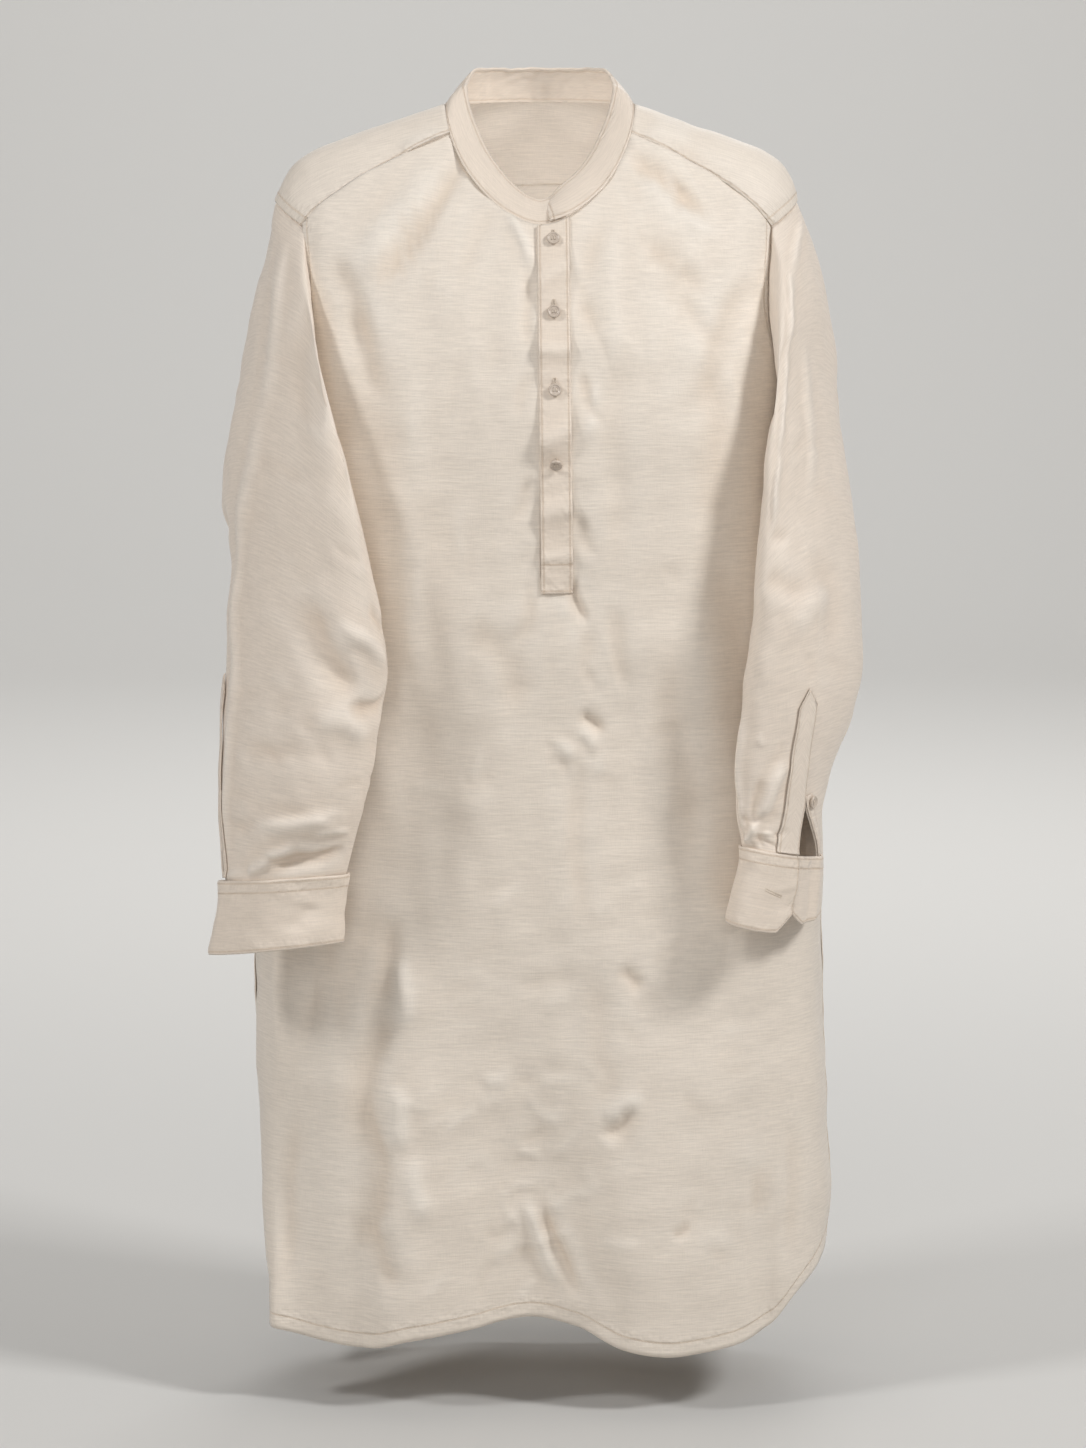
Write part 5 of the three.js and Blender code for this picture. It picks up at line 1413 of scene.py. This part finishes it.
def button_disc():
    """A dished disc: a profile from the middle of its foot, round the rim, to the middle of its face, turned
    about the axis. Four holes are dimples of the face, deep and steep-sided."""
    radius, thick, dish = BUTTON["radius"], BUTTON["thick"], BUTTON["dish"]
    turn = np.linspace(0, np.pi, 15)
    rim_r, rim_z = radius - 0.9 + 0.9 * np.sin(turn), thick / 2 - thick / 2 * np.cos(turn)
    slope = np.linspace(0, 1, 8)[1:]
    face = np.linspace(radius - 2.2, 0.001, 30)[1:]
    r = np.concatenate([[0.001], rim_r, radius - 0.9 - 1.3 * slope, face])
    z = np.concatenate([[0], rim_z, thick - dish * smooth(slope), np.full(len(face), thick - dish)])
    angle = np.linspace(0, 2 * np.pi, 97)
    x, y = r[:, None] * np.cos(angle), r[:, None] * np.sin(angle)
    gap = np.hypot(np.abs(x) - BUTTON["hole_at"], np.abs(y) - BUTTON["hole_at"])
    deep = 1.1 * (1 - smooth((gap - BUTTON["hole"] + 0.15) / 0.25)) * (np.arange(len(r)) > 22)[:, None]
    return np.stack([x, y, z[:, None] - deep], -1)


def sew_button(name, node, point, normal, lift, tilt, up):
    """Puts a button on a place, with its thread: a shank of six strands, and two bars over the holes."""
    rise = lift + (BUTTON["radius"] - 0.8) * math.sin(math.radians(tilt))
    seat = point + rise * normal
    disc = button_disc()
    grid = turned_to(disc.reshape(-1, 3), normal, tilt).reshape(disc.shape) + seat
    piece = cloth_object(name, grid, disc[..., :2], 0)
    stand_for(piece, node, resin)
    at, top = BUTTON["hole_at"], BUTTON["thick"] - BUTTON["dish"] + 0.15
    bars = np.array([[-at, 0, top], [at, 0, top], [-at + 0.3, 0, top + 0.1], [at - 0.3, 0, top + 0.1]])
    ways = np.tile([0.0, 1.0, 0.0], (4, 1))
    bar_normal = turned_to(np.array([[0.0, 0.0, 1.0]]), normal, tilt)
    turn = np.arange(6) * np.pi / 3
    strands = np.stack([0.5 * np.cos(turn), 0.5 * np.sin(turn), np.full(6, -rise / 2 + 0.4)], -1)
    centres = np.concatenate([turned_to(bars, normal, tilt), turned_to(strands, normal, 0)]) + seat
    along = np.concatenate([turned_to(ways, normal, tilt), np.tile(normal, (6, 1))])
    side = np.cross(normal, up)
    ups = np.concatenate([np.tile(bar_normal, (4, 1)), np.tile(side / np.linalg.norm(side), (6, 1))])
    sewn_on = place_stitches(f"{name}_thread", centres, along, ups, 2 * at + 0.5, 0.3)
    stand_for(sewn_on, None, thread)


def make_resin():
    """Cream resin with a satin skin and faint clouding, which is noise on the object's place."""
    material = bpy.data.materials.new("button resin")
    material.use_nodes = True
    tree = material.node_tree
    shader = tree.nodes["Principled BSDF"]
    place = add_node(tree, "ShaderNodeTexCoord").outputs["Object"]
    noise = add_node(tree, "ShaderNodeTexNoise", {"Vector": place, "Scale": 260.0, "Detail": 3.0})
    ramp = add_node(tree, "ShaderNodeValToRGB", {"Fac": noise.outputs[0]})
    ramp.color_ramp.elements[0].position, ramp.color_ramp.elements[1].position = 0.3, 0.7
    ramp.color_ramp.elements[0].color = (0.52, 0.43, 0.36, 1)
    ramp.color_ramp.elements[1].color = (0.64, 0.55, 0.46, 1)
    tree.links.new(ramp.outputs[0], shader.inputs["Base Color"])
    bump = add_node(tree, "ShaderNodeBump", {"Height": noise.outputs[0], "Distance": 0.00005})
    tree.links.new(bump.outputs[0], shader.inputs["Normal"])
    shader.inputs["Roughness"].default_value = 0.32
    shader.inputs["Coat Weight"].default_value = 0.25
    shader.inputs["Coat Roughness"].default_value = 0.2
    return material


resin = make_resin()
for i, button in enumerate(FRONT_BUTTONS, 1):
    place = strip_surface(np.array([MIDDLE]), np.array([float(button["z"])]), 0)
    lift = LAY + BAND + BUTTON["off"]
    sew_button(f"button_{i}", f"front_button_{i}", place[0][0], place[1][0], lift, button["tilt"], (0, 0, 1))
left = SLEEVES["left"]
round_at = slit_at(left, np.array(SLEEVE_BUTTON["ring"]))[1] + SLEEVE_BUTTON["across"]
place = sleeve_surface("left", np.array([SLEEVE_BUTTON["ring"]]), np.array([float(round_at)]))
sew_button("wrist_button", "left_sleeve_button", place[0][0], place[1][0], LAY + 1.2 + BUTTON["off"], 0, (0, 0, 1))

# ---- Floor, backdrop and lights -------------------------------------------------------------------------
# A pale paper sweep rises in one curve well behind the kurta, so that the back can be looked at too. Soft
# boxes light the kurta from each side, from in front and weakly from behind, a small one lights the inside of
# the neck, and a wide one faces the sweep.

FLOOR = -1.075  # m
SWEEP_START, SWEEP_RADIUS, SWEEP_HALF, SWEEP_TOP = 4.6, 1.8, 9, 9


def make_sweep():
    """A floor that turns up into a wall along a quarter circle."""
    turn = np.linspace(0, np.pi / 2, 24)
    y = np.concatenate([[-8], SWEEP_START + SWEEP_RADIUS * np.sin(turn), [SWEEP_START + SWEEP_RADIUS]])
    z = np.concatenate([[0], SWEEP_RADIUS * (1 - np.cos(turn)), [SWEEP_TOP]]) + FLOOR
    x = np.array([-SWEEP_HALF, SWEEP_HALF])
    grid = np.stack([*(np.broadcast_to(c, (len(y), 2)) for c in (x, y[:, None], z[:, None]))], -1) * 1000
    return cloth_object("sweep", grid, grid[..., :2], 0)


sweep = make_sweep()
paper = bpy.data.materials.new("pale paper")
paper.use_nodes = True
paper.node_tree.nodes["Principled BSDF"].inputs["Base Color"].default_value = (0.62, 0.61, 0.59, 1)
paper.node_tree.nodes["Principled BSDF"].inputs["Roughness"].default_value = 0.9
sweep.data.materials.append(paper)

LIGHTS = {
    "key": {"place": (2.3, -1.4, 1.7), "aim": (0, 0, -0.4), "size": 0.6, "power": 62},
    "fill": {"place": (-2.4, -1.4, 1.7), "aim": (0, 0, -0.4), "size": 0.6, "power": 38},
    "front": {"place": (-0.3, -2.9, 0.3), "aim": (0, 0, -0.3), "size": 1.6, "power": 17},
    "behind": {"place": (0.8, 3.0, 1.6), "aim": (0, 0, -0.5), "size": 1.6, "power": 22},
    "sweep": {"place": (0, 2.4, 3.4), "aim": (0, 6.4, 0.4), "size": 3, "power": 170},
    "inside": {"place": (0, -0.03, -0.17), "aim": (0, 0.09, -0.03), "size": 0.1, "power": 0.16},
}
for name, light in LIGHTS.items():
    lamp = bpy.data.lights.new(name, "AREA")
    lamp.size = light["size"]
    lamp.energy = light["power"]
    lit = bpy.data.objects.new(name, lamp)
    lit.location = light["place"]
    lit.visible_camera = False
    away = np.array(light["place"]) - np.array(light["aim"])
    flat = math.hypot(away[0], away[1])
    lit.rotation_euler = (math.atan2(flat, away[2]), 0, math.atan2(away[0], -away[1]) if flat else 0)
    bpy.context.scene.collection.objects.link(lit)
world = bpy.data.worlds.new("room")
bpy.context.scene.world = world
world.use_nodes = True
world.node_tree.nodes["Background"].inputs["Color"].default_value = (1, 0.98, 0.96, 1)
world.node_tree.nodes["Background"].inputs["Strength"].default_value = 0.2
bpy.context.scene.view_settings.view_transform = "Standard"
